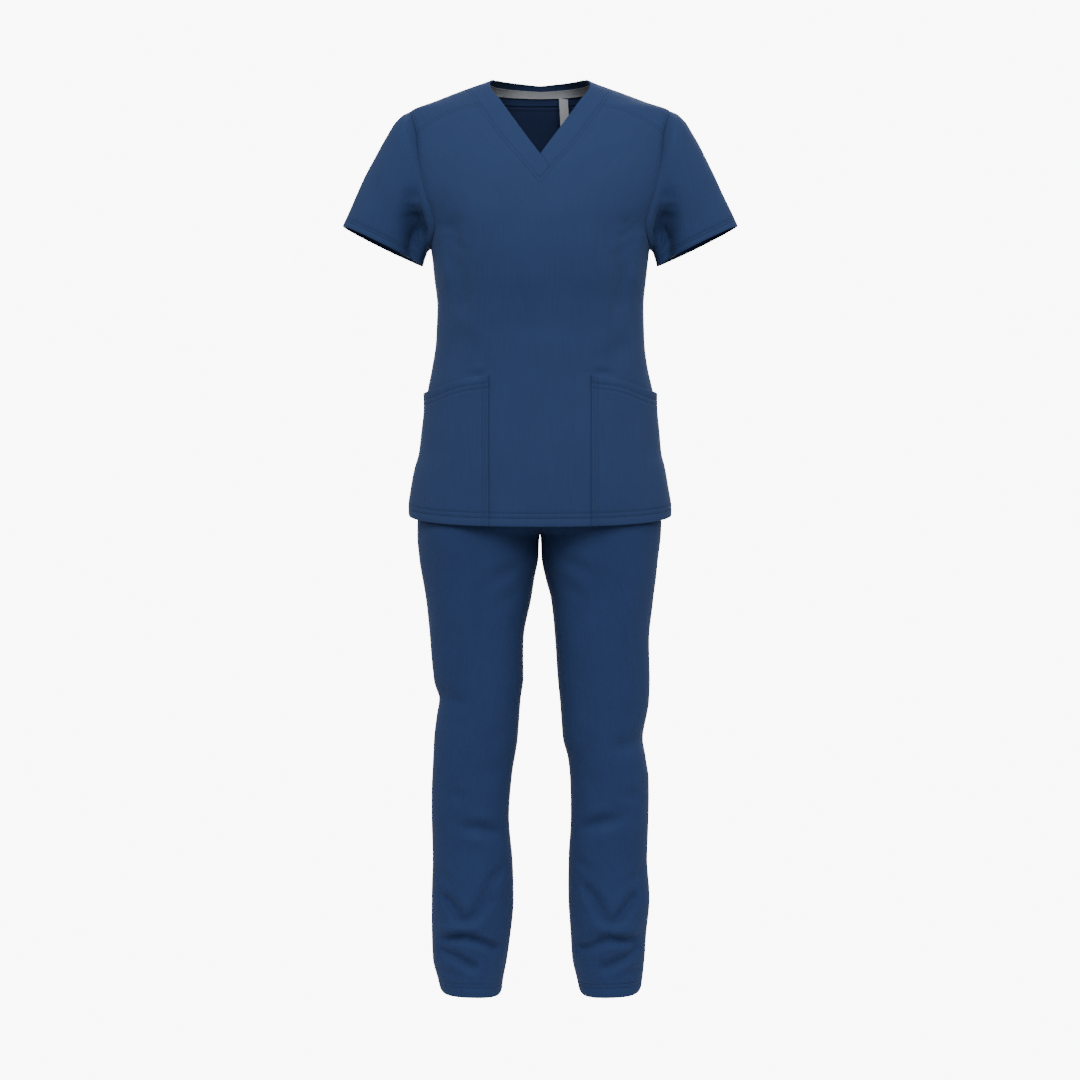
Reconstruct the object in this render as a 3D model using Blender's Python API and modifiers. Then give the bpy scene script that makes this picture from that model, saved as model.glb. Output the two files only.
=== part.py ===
"""A set of scrubs, filled out with no wearer: a V-neck top with short sleeves
over slim straight trousers.

Metres, +Z up. The garment faces -Y. The origin is on the shoulder line, midway
between the two high shoulder points, where the wearer carries the top.
Left and right are the wearer's: the wearer's left is +X.

Each cut piece is a thin closed wall. Its outer points lie on a form worked out
from the section tables below, and its inner points are moved in along the form's
own normals, so two pieces that meet at a seam share the seam's stations.
"""

import math

import bmesh
import bpy
import numpy as np

COLLECTION = "scrub_set"

# Cloth, seams and roundness
CLOTH = 0.0015
TAPE = 0.0010
SEAM_GAP = 0.0004
LAID_GAP = 0.0003
POCKET_GAP = 0.0010
ARMHOLE_EASE = 0.0006
SHOULDER_LIFT = 2.0
TORSO_SQUARENESS = 2.3
LEG_SQUARENESS = 2.2
ON_SIDE_LINE = 1 - 1e-9

# Heights on the top, from the shoulder line
HEM_FRONT = -0.6947
HEM_SIDE = -0.6760
HEM_BACK = -0.6930
VENT_TOP = -0.5820
UNDERARM = -0.2620
CHEST_LEVEL = -0.2720
SHOULDER_POINT = -0.0468
VENT_PARTING = 0.0060

# Heights on the trousers
WAIST_TOP = -0.4020
WAIST_SEAM = -0.4400
CROTCH = -0.7090
LEG_HEM_SIDE = -1.4080
LEG_HEM_FRONT = -1.4200
LEG_HEM_BACK = -1.4150

# Pocket on each front, and the mouth's small gape at its outer corner
POCKET_INNER_X = 0.0785
POCKET_MOUTH_GAPE = 0.0030
POCKET_GAPE_LENGTH = 0.0400

# Neck tape, as shares of the neckband's width from its free edge, and its hanging strip
TAPE_FROM = 0.27
TAPE_TO = 0.63
TAPE_FORWARD = math.radians(25)

# The neckband's free edge runs this share of its length from the V before the lap turns
LAP_TURN = 0.035
STRIP_WIDTH = 0.0142
STRIP_X = 0.0367
STRIP_END = (0.0405, 0.0690, -0.0850)

# How finely each piece is divided
FRONT_COLUMNS = 10
SIDE_ROWS = 16
VENT_ROWS = 4
ARMHOLE_ROWS = 10
BACK_ARMHOLE_ROWS = 11
SHOULDER_ROWS = 3
NECK_FRONT_ROWS = 7
NECK_BACK_ROWS = 6
POCKET_COLUMNS = 9
POCKET_ROWS = 10
LEG_COLUMNS = 8
STRIP_ROWS = 4

ACROSS_THE_SEAM = math.radians(90)
FULL_HALF = math.radians(180)


class Rows:
    """A short table with named columns, read as smooth curves against its first column."""

    def __init__(self, names, rows):
        self.names = names.split()
        self.data = np.array(sorted(rows), float)

    def column(self, name):
        return self.data[:, self.names.index(name)]

    def value(self, name, where):
        at = self.data[:, 0]
        heights = self.column(name)
        step = np.diff(at)
        rise = np.diff(heights) / step
        slopes = np.concatenate([rise[:1], np.zeros(len(rise) - 1), rise[-1:]])
        for row in range(1, len(at) - 1):
            if rise[row - 1] * rise[row] > 0:
                behind = 2 * step[row] + step[row - 1]
                ahead = step[row] + 2 * step[row - 1]
                slopes[row] = (behind + ahead) / (behind / rise[row - 1] + ahead / rise[row])
        where = np.clip(np.asarray(where, float), at[0], at[-1])
        left = np.clip(np.searchsorted(at, where) - 1, 0, len(at) - 2)
        width = step[left]
        t = (where - at[left]) / width
        start = heights[left] * (1 + 2 * t) * (1 - t) ** 2
        start_slope = slopes[left] * width * t * (1 - t) ** 2
        end = heights[left + 1] * t * t * (3 - 2 * t)
        end_slope = slopes[left + 1] * width * t * t * (t - 1)
        return start + start_slope + end + end_slope


# Sections of the top, level by level
TORSO = Rows("height half_width front_depth back_depth", (
    (0.008, 0.0600, 0.026, 0.060),
    (0.000, 0.0790, 0.030, 0.066),
    (-0.016, 0.1210, 0.041, 0.074),
    (-0.032, 0.1635, 0.052, 0.080),
    (-0.0468, 0.2020, 0.062, 0.085),
    (-0.060, 0.2110, 0.070, 0.090),
    (-0.084, 0.2150, 0.084, 0.098),
    (-0.115, 0.2160, 0.100, 0.106),
    (-0.148, 0.2115, 0.113, 0.111),
    (-0.182, 0.2005, 0.123, 0.113),
    (-0.218, 0.1830, 0.130, 0.113),
    (-0.232, 0.1770, 0.131, 0.113),
    (-0.262, 0.1705, 0.132, 0.112),
    (-0.306, 0.1654, 0.129, 0.108),
    (-0.353, 0.1603, 0.122, 0.104),
    (-0.400, 0.1622, 0.118, 0.106),
    (-0.446, 0.1685, 0.118, 0.113),
    (-0.493, 0.1775, 0.120, 0.122),
    (-0.540, 0.1828, 0.123, 0.131),
    (-0.582, 0.1872, 0.126, 0.137),
    (-0.602, 0.1925, 0.127, 0.138),
    (-0.633, 0.1985, 0.128, 0.139),
    (-0.665, 0.2030, 0.128, 0.138),
    (-0.700, 0.2015, 0.127, 0.137),
))

# Seams on the top, as points on the front or the back of its form
ARMHOLE_FRONT = ((0.1690, -0.2575), (0.1645, -0.2450), (0.1622, -0.2310), (0.1655, -0.2150), (0.1763, -0.1817),
                 (0.1827, -0.1473), (0.1880, -0.1130), (0.1915, -0.0844))
ARMHOLE_BACK = ((0.1695, -0.2560), (0.1670, -0.2400), (0.1672, -0.2250), (0.1735, -0.1900), (0.1815, -0.1500),
                (0.1880, -0.1100), (0.1940, -0.0750), (0.1985, -0.0570))
ARMHOLE_YOKE = ((0.1990, -0.0570), (0.1950, -0.0700), (0.1915, -0.0844))
YOKE_SEAM = ((0.0928, -0.0415), (0.1320, -0.0500), (0.1431, -0.0546), (0.1725, -0.0711), (0.1915, -0.0844))
NECK_TIP = (0.0, -0.1627)
NECK_LAP = (0.0143, -0.1445)
NECK_FRONT = ((0.0143, -0.1445), (0.0446, -0.1167), (0.0699, -0.0743), (0.0928, -0.0415))
NECK_SHOULDER = ((0.0928, -0.0415), (0.0985, -0.0312), (0.1040, -0.0235), (0.1095, -0.0170))
NECK_RIDGE = -0.0135
NECK_BACK = ((0.1090, -0.0160), (0.1010, -0.0190), (0.0850, -0.0225), (0.0600, -0.0260), (0.0300, -0.0278), (0.0, -0.0280))
BAND_EDGE_FRONT = ((0.0, -0.1248), (0.0200, -0.0965), (0.0400, -0.0675), (0.0615, -0.0360), (0.0775, -0.0115))
BAND_RIDGE = 0.0010
BAND_EDGE_BACK = ((0.0750, 0.0015), (0.0640, 0.0025), (0.0363, 0.0030), (0.0, 0.0015))
POCKET_MOUTH = ((0.0785, -0.4663), (0.1280, -0.4740), (0.1600, -0.4840))
POCKET_MOUTH_SIDE = -0.4870

# Sections of each sleeve: the ring's outer and inner end, its depths and how square it is
SLEEVE = (
    # outer_x, outer_height, inner_x, inner_height, front_depth, back_depth, squareness
    (0.2130, -0.0562, 0.1740, -0.2640, 0.066, 0.069, 3.0),
    (0.2240, -0.0685, 0.1755, -0.2660, 0.066, 0.069, 2.8),
    (0.2440, -0.1010, 0.1770, -0.2710, 0.064, 0.067, 2.5),
    (0.2700, -0.1485, 0.1788, -0.2768, 0.060, 0.062, 2.3),
    (0.2935, -0.1955, 0.1803, -0.2830, 0.056, 0.057, 2.2),
    (0.3073, -0.2262, 0.1817, -0.2886, 0.053, 0.054, 2.1),
)

# Sections of the hips and legs. An inner edge past the middle plane is where the two legs merge.
LEG_RIGHT = Rows("height outer inner front_depth back_depth", (
    (-0.402, 0.1470, -0.1470, 0.094, 0.094),
    (-0.440, 0.1500, -0.1500, 0.096, 0.098),
    (-0.520, 0.1660, -0.1460, 0.104, 0.112),
    (-0.580, 0.1785, -0.1120, 0.107, 0.122),
    (-0.630, 0.1860, -0.0700, 0.108, 0.123),
    (-0.670, 0.1895, -0.0340, 0.107, 0.118),
    (-0.695, 0.1910, -0.0100, 0.105, 0.112),
    (-0.709, 0.1911, 0.0006, 0.103, 0.108),
    (-0.7426, 0.1880, 0.0023, 0.099, 0.104),
    (-0.7738, 0.1833, 0.0086, 0.095, 0.101),
    (-0.805, 0.1786, 0.0133, 0.091, 0.098),
    (-0.8674, 0.1724, 0.0242, 0.085, 0.091),
    (-0.9298, 0.1661, 0.0257, 0.079, 0.084),
    (-0.961, 0.1599, 0.0304, 0.077, 0.081),
    (-1.0234, 0.1661, 0.0351, 0.073, 0.078),
    (-1.0858, 0.1677, 0.0445, 0.069, 0.080),
    (-1.1482, 0.1693, 0.0476, 0.066, 0.081),
    (-1.2106, 0.1677, 0.0429, 0.063, 0.079),
    (-1.273, 0.1693, 0.0413, 0.061, 0.076),
    (-1.3354, 0.1677, 0.0460, 0.060, 0.073),
    (-1.3666, 0.1661, 0.0507, 0.059, 0.071),
    (-1.3978, 0.1583, 0.0569, 0.058, 0.069),
    (-1.425, 0.1530, 0.0600, 0.058, 0.068),
))
LEG_LEFT = Rows("height outer inner front_depth back_depth", (
    (-0.402, 0.1470, -0.1470, 0.094, 0.094),
    (-0.440, 0.1500, -0.1500, 0.096, 0.098),
    (-0.520, 0.1660, -0.1460, 0.104, 0.112),
    (-0.580, 0.1785, -0.1120, 0.107, 0.122),
    (-0.630, 0.1860, -0.0700, 0.108, 0.123),
    (-0.670, 0.1885, -0.0340, 0.107, 0.118),
    (-0.695, 0.1890, -0.0100, 0.105, 0.112),
    (-0.709, 0.1885, 0.0006, 0.103, 0.108),
    (-0.7426, 0.1849, 0.0023, 0.099, 0.104),
    (-0.7738, 0.1817, 0.0086, 0.095, 0.101),
    (-0.805, 0.1771, 0.0164, 0.091, 0.098),
    (-0.8674, 0.1708, 0.0226, 0.085, 0.091),
    (-0.9298, 0.1724, 0.0273, 0.079, 0.084),
    (-0.961, 0.1708, 0.0304, 0.077, 0.081),
    (-1.0234, 0.1599, 0.0351, 0.073, 0.078),
    (-1.0546, 0.1646, 0.0429, 0.071, 0.079),
    (-1.0858, 0.1693, 0.0460, 0.069, 0.080),
    (-1.1482, 0.1693, 0.0476, 0.066, 0.081),
    (-1.2106, 0.1677, 0.0445, 0.063, 0.079),
    (-1.273, 0.1708, 0.0445, 0.061, 0.076),
    (-1.3354, 0.1646, 0.0476, 0.060, 0.073),
    (-1.3666, 0.1630, 0.0507, 0.059, 0.071),
    (-1.3978, 0.1599, 0.0585, 0.058, 0.069),
    (-1.425, 0.1560, 0.0640, 0.058, 0.068),
))

# Levels of the trousers' rows, from the hem up: closer together where the folds are
LEG_ROW_HEIGHTS = (-1.3960, -1.3840, -1.3725, -1.3610, -1.3500, -1.3390, -1.3280, -1.3160, -1.3040, -1.2880,
                   -1.2680, -1.2420, -1.2120, -1.1840, -1.1640, -1.1460, -1.1240, -1.1020, -1.0760, -1.0480,
                   -1.0200, -0.9900, -0.9600, -0.9200, -0.8800, -0.8400, -0.8000, -0.7700, -0.7426, -0.7240)
HIP_ROW_HEIGHTS = (-0.7030, -0.6950, -0.6830, -0.6700, -0.6500, -0.6250, -0.5900, -0.5500, -0.5000)

# Main folds, as lines on a surface. Depth is down into the cloth; a ridge has a depth below zero.
FRONT, BACK = 1, -1
LEG_RIGHT_FOLDS = (
    # face, start_x, start_height, end_x, end_height, width, depth
    (FRONT, 0.1470, -1.3320, 0.1133, -1.3262, 0.0085, 0.0065),
    (FRONT, 0.1133, -1.3262, 0.0660, -1.3447, 0.0085, 0.0065),
    (FRONT, 0.1470, -1.3150, 0.1000, -1.3120, 0.0100, -0.0040),
    (FRONT, 0.1507, -1.3494, 0.1029, -1.3725, 0.0090, 0.0055),
    (FRONT, 0.1456, -1.2692, 0.1214, -1.3016, 0.0080, 0.0035),
    (FRONT, 0.0737, -1.2723, 0.1136, -1.3062, 0.0080, 0.0035),
    (FRONT, 0.0686, -1.1660, 0.1133, -1.1552, 0.0100, 0.0022),
    (FRONT, 0.1600, -0.9610, 0.1250, -0.9660, 0.0130, 0.0030),
    (BACK, 0.1450, -1.3390, 0.0700, -1.3300, 0.0100, 0.0060),
    (BACK, 0.1300, -1.3700, 0.0850, -1.3600, 0.0100, 0.0045),
    (BACK, 0.1450, -1.0200, 0.0700, -1.0300, 0.0140, 0.0050),
    (BACK, 0.1350, -0.9700, 0.0700, -0.9850, 0.0140, 0.0035),
)
LEG_LEFT_FOLDS = (
    (FRONT, 0.1450, -1.3340, 0.1040, -1.3278, 0.0085, 0.0065),
    (FRONT, 0.1040, -1.3278, 0.0620, -1.3447, 0.0085, 0.0065),
    (FRONT, 0.1440, -1.3170, 0.0950, -1.3130, 0.0100, -0.0040),
    (FRONT, 0.1492, -1.3463, 0.1009, -1.3725, 0.0090, 0.0055),
    (FRONT, 0.0723, -1.2561, 0.1040, -1.3093, 0.0080, 0.0038),
    (FRONT, 0.1441, -1.2668, 0.1094, -1.3119, 0.0080, 0.0035),
    (FRONT, 0.0670, -1.1583, 0.1173, -1.1444, 0.0100, 0.0024),
    (FRONT, 0.1580, -1.0230, 0.1250, -1.0320, 0.0130, 0.0032),
    (BACK, 0.1500, -1.3340, 0.0800, -1.3420, 0.0100, 0.0060),
    (BACK, 0.1250, -1.3640, 0.0800, -1.3720, 0.0100, 0.0045),
    (BACK, 0.1400, -1.0300, 0.0720, -1.0180, 0.0140, 0.0048),
    (BACK, 0.1450, -0.9850, 0.0800, -0.9720, 0.0140, 0.0036),
)
TORSO_FOLDS = (
    (FRONT, 0.1320, -0.2350, 0.1230, -0.3500, 0.0150, 0.0040),
    (FRONT, 0.1530, -0.2500, 0.1450, -0.3100, 0.0120, -0.0020),
    (FRONT, 0.1300, -0.4250, 0.1100, -0.4550, 0.0170, 0.0030),
    (BACK, 0.1350, -0.2400, 0.1180, -0.3400, 0.0160, 0.0040),
    (BACK, 0.0900, -0.3900, 0.0100, -0.4050, 0.0180, 0.0035),
)
SLEEVE_FOLDS = (
    # start x, y, height, end x, y, height, width, depth
    (0.1980, -0.0600, -0.1750, 0.1880, -0.0500, -0.2650, 0.0150, 0.0130),
    (0.1980, 0.0640, -0.1800, 0.1880, 0.0540, -0.2650, 0.0160, 0.0110),
)

# Finishes: base colour in linear light, and roughness
NAVY_TOP = (0.024, 0.062, 0.158)
NAVY_TROUSERS = (0.015, 0.040, 0.120)
GREY_TAPE = (0.300, 0.300, 0.295)
CLOTH_ROUGHNESS = 0.85


def rounded(wave, squareness):
    """A sine or cosine, squared off as on a superellipse."""
    return np.sign(wave) * np.abs(wave) ** (2 / squareness)


def torso_point(angle, height):
    """The top's form. Angle 0 is the front centre, 90 degrees the side, 180 the back centre."""
    ahead = rounded(np.cos(angle), TORSO_SQUARENESS)
    front = TORSO.value("front_depth", height)
    back = TORSO.value("back_depth", height)
    x = TORSO.value("half_width", height) * rounded(np.sin(angle), TORSO_SQUARENESS)
    y = -np.where(ahead > 0, front, back) * ahead
    return np.stack([x, y, np.asarray(height, float)], axis=-1)


def leg_form(sections):
    """One leg's form, with the hips above it. Angle 0 is its front, 90 degrees the outer seam."""
    def point(angle, height):
        outer = sections.value("outer", height)
        inner = sections.value("inner", height)
        ahead = rounded(np.cos(angle), LEG_SQUARENESS)
        front = sections.value("front_depth", height)
        back = sections.value("back_depth", height)
        x = (outer + inner) / 2 + (outer - inner) / 2 * rounded(np.sin(angle), LEG_SQUARENESS)
        y = -np.where(ahead > 0, front, back) * ahead
        return np.stack([x, y, np.asarray(height, float)], axis=-1)
    return point


def unit(vectors):
    """The same directions, with a length of one."""
    return vectors / np.linalg.norm(vectors, axis=-1, keepdims=True)


def normals_of(form, angle, height):
    """Unit normals out of a form, from its slopes both ways."""
    turn, lift = 0.004, 0.0008
    around = form(angle + turn, height) - form(angle - turn, height)
    up = form(angle, height + lift) - form(angle, height - lift)
    out = np.cross(around, up)
    return unit(out)


def fold_depth(points, folds):
    """How far the folds push each point in: full on a fold's line, fading across its width."""
    total = np.zeros(points.shape[:-1])
    for start, end, width, depth in folds:
        along = end - start
        share = np.clip(((points - start) @ along) / (along @ along), 0, 1)
        away = np.linalg.norm(points - start - share[..., None] * along, axis=-1)
        total += depth * np.exp(-((away / width) ** 2))
    return total


def folded(form, folds):
    """A form with its folds pushed in along its normals."""
    def point(angle, height):
        base = form(angle, height)
        return base - normals_of(form, angle, height) * fold_depth(base, folds)[..., None]
    return point


def angle_across(share, face, squareness):
    """The angle at which a section reaches a share of its half width, on its front or its back."""
    share = np.where(np.abs(share) > ON_SIDE_LINE, np.sign(share), share)
    turn = np.arcsin(np.sign(share) * np.abs(share) ** (squareness / 2))
    return np.where(face == FRONT, turn, FULL_HALF - turn)


def torso_angle(x, height, face):
    """The angle at which the top reaches a distance to the side."""
    return angle_across(x / TORSO.value("half_width", height), face, TORSO_SQUARENESS)


def leg_angle(sections, x, height, face):
    """The angle at which a leg reaches a distance to the side."""
    outer = sections.value("outer", height)
    inner = sections.value("inner", height)
    return angle_across((2 * x - outer - inner) / (outer - inner), face, LEG_SQUARENESS)


def placed_folds(form, angle_of, rows):
    """Fold lines as points in space, from their places on a form's front or back."""
    folds = []
    for face, start_x, start_height, end_x, end_height, width, depth in rows:
        start = form(angle_of(start_x, start_height, face), start_height)
        end = form(angle_of(end_x, end_height, face), end_height)
        folds.append((start, end, width, depth))
    return folds


def smooth_line(points, count):
    """A smooth line through a few points, as many more points along it."""
    points = np.array(points, float)
    chord = np.linalg.norm(np.diff(points, axis=0), axis=1)
    at = np.concatenate([[0], np.cumsum(chord)])
    tangent = np.gradient(points, at, axis=0)
    fine = np.linspace(0, at[-1], count)
    left = np.clip(np.searchsorted(at, fine) - 1, 0, len(at) - 2)
    width = np.diff(at)[left][:, None]
    t = (fine - at[left])[:, None] / width
    return (points[left] * (1 + 2 * t) * (1 - t) ** 2 + tangent[left] * width * t * (1 - t) ** 2
            + points[left + 1] * t * t * (3 - 2 * t) + tangent[left + 1] * width * t * t * (t - 1))


def length_along(points):
    """The length run at each point of a line."""
    return np.concatenate([[0], np.cumsum(np.linalg.norm(np.diff(points, axis=0), axis=1))])


def seam(points, face, count):
    """A seam over the front or the back of the top, as stations an equal length apart.

    The points are pairs of a distance to the side and a height. Each station is an
    angle and a height. A point past the form's edge lies on its side line.
    """
    line = smooth_line(points, 60 * count + 1)
    line = np.stack([torso_angle(line[:, 0], line[:, 1], face), line[:, 1]], axis=1)
    run = length_along(torso_point(line[:, 0], line[:, 1]))
    even = np.linspace(0, run[-1], count + 1)
    return np.stack([np.interp(even, run, line[:, axis]) for axis in (0, 1)], axis=1)


def side_point(height):
    """The point of the top's side line at a height."""
    return (float(TORSO.value("half_width", height)), height)


def joined(*lines):
    """Several lines of stations end to end, without the shared points."""
    return np.concatenate([lines[0]] + [line[1:] for line in lines[1:]])


def patch(low, high, inner, outer):
    """A grid between four edges, blended from all four. Rows run from low to high."""
    u = np.linspace(0, 1, len(low))[None, :, None]
    v = np.linspace(0, 1, len(inner))[:, None, None]
    between_ends = (1 - v) * low[None] + v * high[None]
    between_sides = (1 - u) * inner[:, None] + u * outer[:, None]
    corners = ((1 - v) * ((1 - u) * low[0] + u * low[-1])
               + v * ((1 - u) * high[0] + u * high[-1]))
    return between_ends + between_sides - corners


def shoulder_patch(low, high, inner, outer):
    """A grid from the chest up to the shoulder, blended by distance to the side.

    Its rows are lifted between the centre and the armhole, so that they follow the
    round of the shoulder.
    """
    level = np.linspace(0, 1, len(inner))
    across = np.linspace(0, 1, len(low))[None]
    v = level[:, None] * (1 + SHOULDER_LIFT * across * (1 - across) * (1 - level[:, None]))
    low_x, high_x, outer_x = (torso_point(line[:, 0], line[:, 1])[:, 0] for line in (low, high, outer))
    u = (1 - v) * low_x / low_x[-1] + v * high_x / high_x[-1]
    between_ends = (1 - v) * low[:, 1] + v * high[:, 1]
    between_sides = (1 - u) * np.interp(v, level, inner[:, 1]) + u * np.interp(v, level, outer[:, 1])
    corners = ((1 - v) * ((1 - u) * low[0, 1] + u * low[-1, 1])
               + v * ((1 - u) * high[0, 1] + u * high[-1, 1]))
    height = between_ends + between_sides - corners
    angle = torso_angle(u * np.interp(v, level, outer_x), height, BACK)
    grid = np.stack([angle, height], axis=-1)
    grid[0] = low
    grid[-1] = high
    grid[:, 0] = inner
    grid[:, -1] = outer
    return grid


def welded(grids):
    """Grids of points and normals as one list of each, and the quads between them."""
    numbers = {}
    points = []
    normals = []
    quads = []
    for grid_points, grid_normals in grids:
        at = np.zeros(grid_points.shape[:2], int)
        for place in np.ndindex(at.shape):
            key = tuple(np.round(grid_points[place], 6))
            if key not in numbers:
                numbers[key] = len(points)
                points.append(grid_points[place])
                normals.append(grid_normals[place])
            at[place] = numbers[key]
        corners = (at[:-1, :-1], at[:-1, 1:], at[1:, 1:], at[1:, :-1])
        quads += [tuple(int(corner) for corner in quad) for quad in np.stack(corners, axis=-1).reshape(-1, 4)]
    return np.array(points), np.array(normals), quads


def rim_of(points, quads, mirror):
    """The edges that only one quad uses, apart from those where the mirrored half joins."""
    edges = {(quad[corner], quad[(corner + 1) % 4]) for quad in quads for corner in range(4)}
    rim = [(a, b) for a, b in edges if (b, a) not in edges]
    if mirror:
        rim = [(a, b) for a, b in rim if points[a, 0] or points[b, 0]]
    return sorted(rim)


def drawn_back(points, quads, rim, mirror):
    """The same points with the rim moved in squarely, which leaves the gap at each seam."""
    along = np.zeros(points.shape)
    inward = np.zeros(points.shape)
    for a, b in rim:
        along[[a, b]] += unit(points[b] - points[a])
    for quad in quads:
        inward[list(quad)] += points[list(quad)].mean(axis=0) - points[list(quad)]
    on_rim = sorted({number for edge in rim for number in edge})
    seam_way = unit(along[on_rim])
    way = inward[on_rim] - seam_way * (inward[on_rim] * seam_way).sum(axis=-1, keepdims=True)
    if mirror:
        way[points[on_rim, 0] == 0, 0] = 0
    result = points.copy()
    result[on_rim] += SEAM_GAP / 2 * unit(way)
    return result


def material(name, colour):
    """A matte cloth finish."""
    made = bpy.data.materials.get(name)
    if made is None:
        made = bpy.data.materials.new(name)
        made.use_nodes = True
        shader = made.node_tree.nodes["Principled BSDF"]
        shader.inputs["Base Color"].default_value = (*colour, 1)
        shader.inputs["Roughness"].default_value = CLOTH_ROUGHNESS
        shader.inputs["Metallic"].default_value = 0
    return made


def wall(name, finish, grids, side=1, mirror=False):
    """A closed solid of cloth under one or more grids of points and normals.

    The grids are the outer face, on the wearer's left. Grids that share an edge are
    one piece. side -1 puts the piece on the wearer's right, and mirror adds that half.
    """
    points, normals, quads = welded(grids)
    rim = rim_of(points, quads, mirror)
    if mirror:
        normals[points[:, 0] == 0, 0] = 0
    outer = flipped(drawn_back(points, quads, rim, mirror), side)
    inner = outer - flipped(normals, side) * (TAPE if finish.name.endswith("twill") else CLOTH)
    mesh = bpy.data.meshes.new(name)
    body = bmesh.new()
    skins = [[body.verts.new(point) for point in skin] for skin in (outer, inner)]
    for skin in skins:
        for quad in quads:
            body.faces.new([skin[number] for number in quad])
    for a, b in rim:
        body.faces.new((skins[0][a], skins[0][b], skins[1][b], skins[1][a]))
    bmesh.ops.recalc_face_normals(body, faces=body.faces)
    body.to_mesh(mesh)
    body.free()
    mesh.shade_smooth()
    mesh.set_sharp_from_angle(angle=math.radians(40))
    mesh.materials.append(finish)
    piece = bpy.data.objects.new(name, mesh)
    bpy.data.collections[COLLECTION].objects.link(piece)
    if mirror:
        halves = piece.modifiers.new("Both halves", "MIRROR")
        halves.merge_threshold = 0.0001
    return piece


def flipped(points, side):
    """Points for the other side of the body when side is -1."""
    return points * np.array([side, 1, 1])


def seam_lines():
    """Every seam of the top, as stations on its form, shared by the pieces that meet there."""
    side_heights = np.concatenate([np.linspace(HEM_SIDE, VENT_TOP, VENT_ROWS + 1),
                                   np.linspace(VENT_TOP, UNDERARM, SIDE_ROWS - VENT_ROWS + 1)[1:]])
    ridge_heights = np.linspace(NECK_RIDGE, SHOULDER_POINT, FRONT_COLUMNS + 1)
    underarm = (side_point(UNDERARM),)
    shoulder = (side_point(SHOULDER_POINT),)
    ridge = (side_point(NECK_RIDGE),)
    return {
        "side": on_side_line(side_heights),
        "ridge": on_side_line(ridge_heights),
        "armhole_front": seam(underarm + ARMHOLE_FRONT, FRONT, ARMHOLE_ROWS),
        "armhole_back": seam(underarm + ARMHOLE_BACK + shoulder, BACK, BACK_ARMHOLE_ROWS),
        "armhole_yoke": seam(shoulder + ARMHOLE_YOKE, FRONT, SHOULDER_ROWS),
        "yoke": seam(YOKE_SEAM, FRONT, FRONT_COLUMNS),
        "neck_lap": seam((NECK_TIP, NECK_LAP), FRONT, 1),
        "neck_front": seam(NECK_FRONT, FRONT, NECK_FRONT_ROWS - 1),
        "neck_shoulder": seam(NECK_SHOULDER + ridge, FRONT, SHOULDER_ROWS),
        "neck_back": seam(ridge + NECK_BACK, BACK, NECK_BACK_ROWS),
    }


def on_side_line(heights):
    """Stations down the form's side line, where its front meets its back."""
    return np.stack([np.full(len(heights), ACROSS_THE_SEAM), heights], axis=1)


def hem_line(centre_height, start_angle, end_angle, side_height, columns):
    """A hem that dips from its side to its centre."""
    share = np.linspace(0, 1, columns + 1)
    angle = start_angle + (end_angle - start_angle) * share
    height = centre_height + (side_height - centre_height) * share ** 2
    return np.stack([angle, height], axis=1)


def parted(side, direction):
    """The side seam with its vent: below the vent's top the edge draws back from the seam."""
    line = side.copy()
    below = np.clip((VENT_TOP - line[:, 1]) / (VENT_TOP - HEM_SIDE), 0, 1)
    line[:, 0] += direction * below * VENT_PARTING / TORSO.value("front_depth", HEM_SIDE)
    return line


def on_form(form, grid, lift=0.0):
    """Points over a form at a grid's angles and heights, moved out along the form's normals."""
    normals = normals_of(form, grid[..., 0], grid[..., 1])
    lift = np.asarray(lift)[..., None]
    return form(grid[..., 0], grid[..., 1]) + normals * lift, normals


def make_front(finish, form, seams, armhole_normals):
    """The front: hem to shoulder seams, with the neck cut down to the V."""
    low_rows = SIDE_ROWS + ARMHOLE_ROWS - NECK_FRONT_ROWS
    centre_heights = joined(np.linspace(HEM_FRONT, CHEST_LEVEL, SIDE_ROWS + 1),
                            np.linspace(CHEST_LEVEL, NECK_TIP[1], low_rows - SIDE_ROWS + 1))
    centre = np.stack([np.zeros(low_rows + 1), centre_heights], axis=1)
    inner = joined(centre, seams["neck_lap"], seams["neck_front"])
    outer = joined(parted(seams["side"], -1), seams["armhole_front"])
    low = hem_line(HEM_FRONT, 0.0, outer[0, 0], HEM_SIDE, FRONT_COLUMNS)
    points, normals = on_form(form, patch(low, seams["yoke"], inner, outer))
    points[:low_rows + 1, 0, 0] = 0
    normals[SIDE_ROWS:, -1] = armhole_normals[SHOULDER_ROWS:SHOULDER_ROWS + ARMHOLE_ROWS + 1][::-1]
    wall("front", finish, [(points, normals)], mirror=True)


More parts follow.
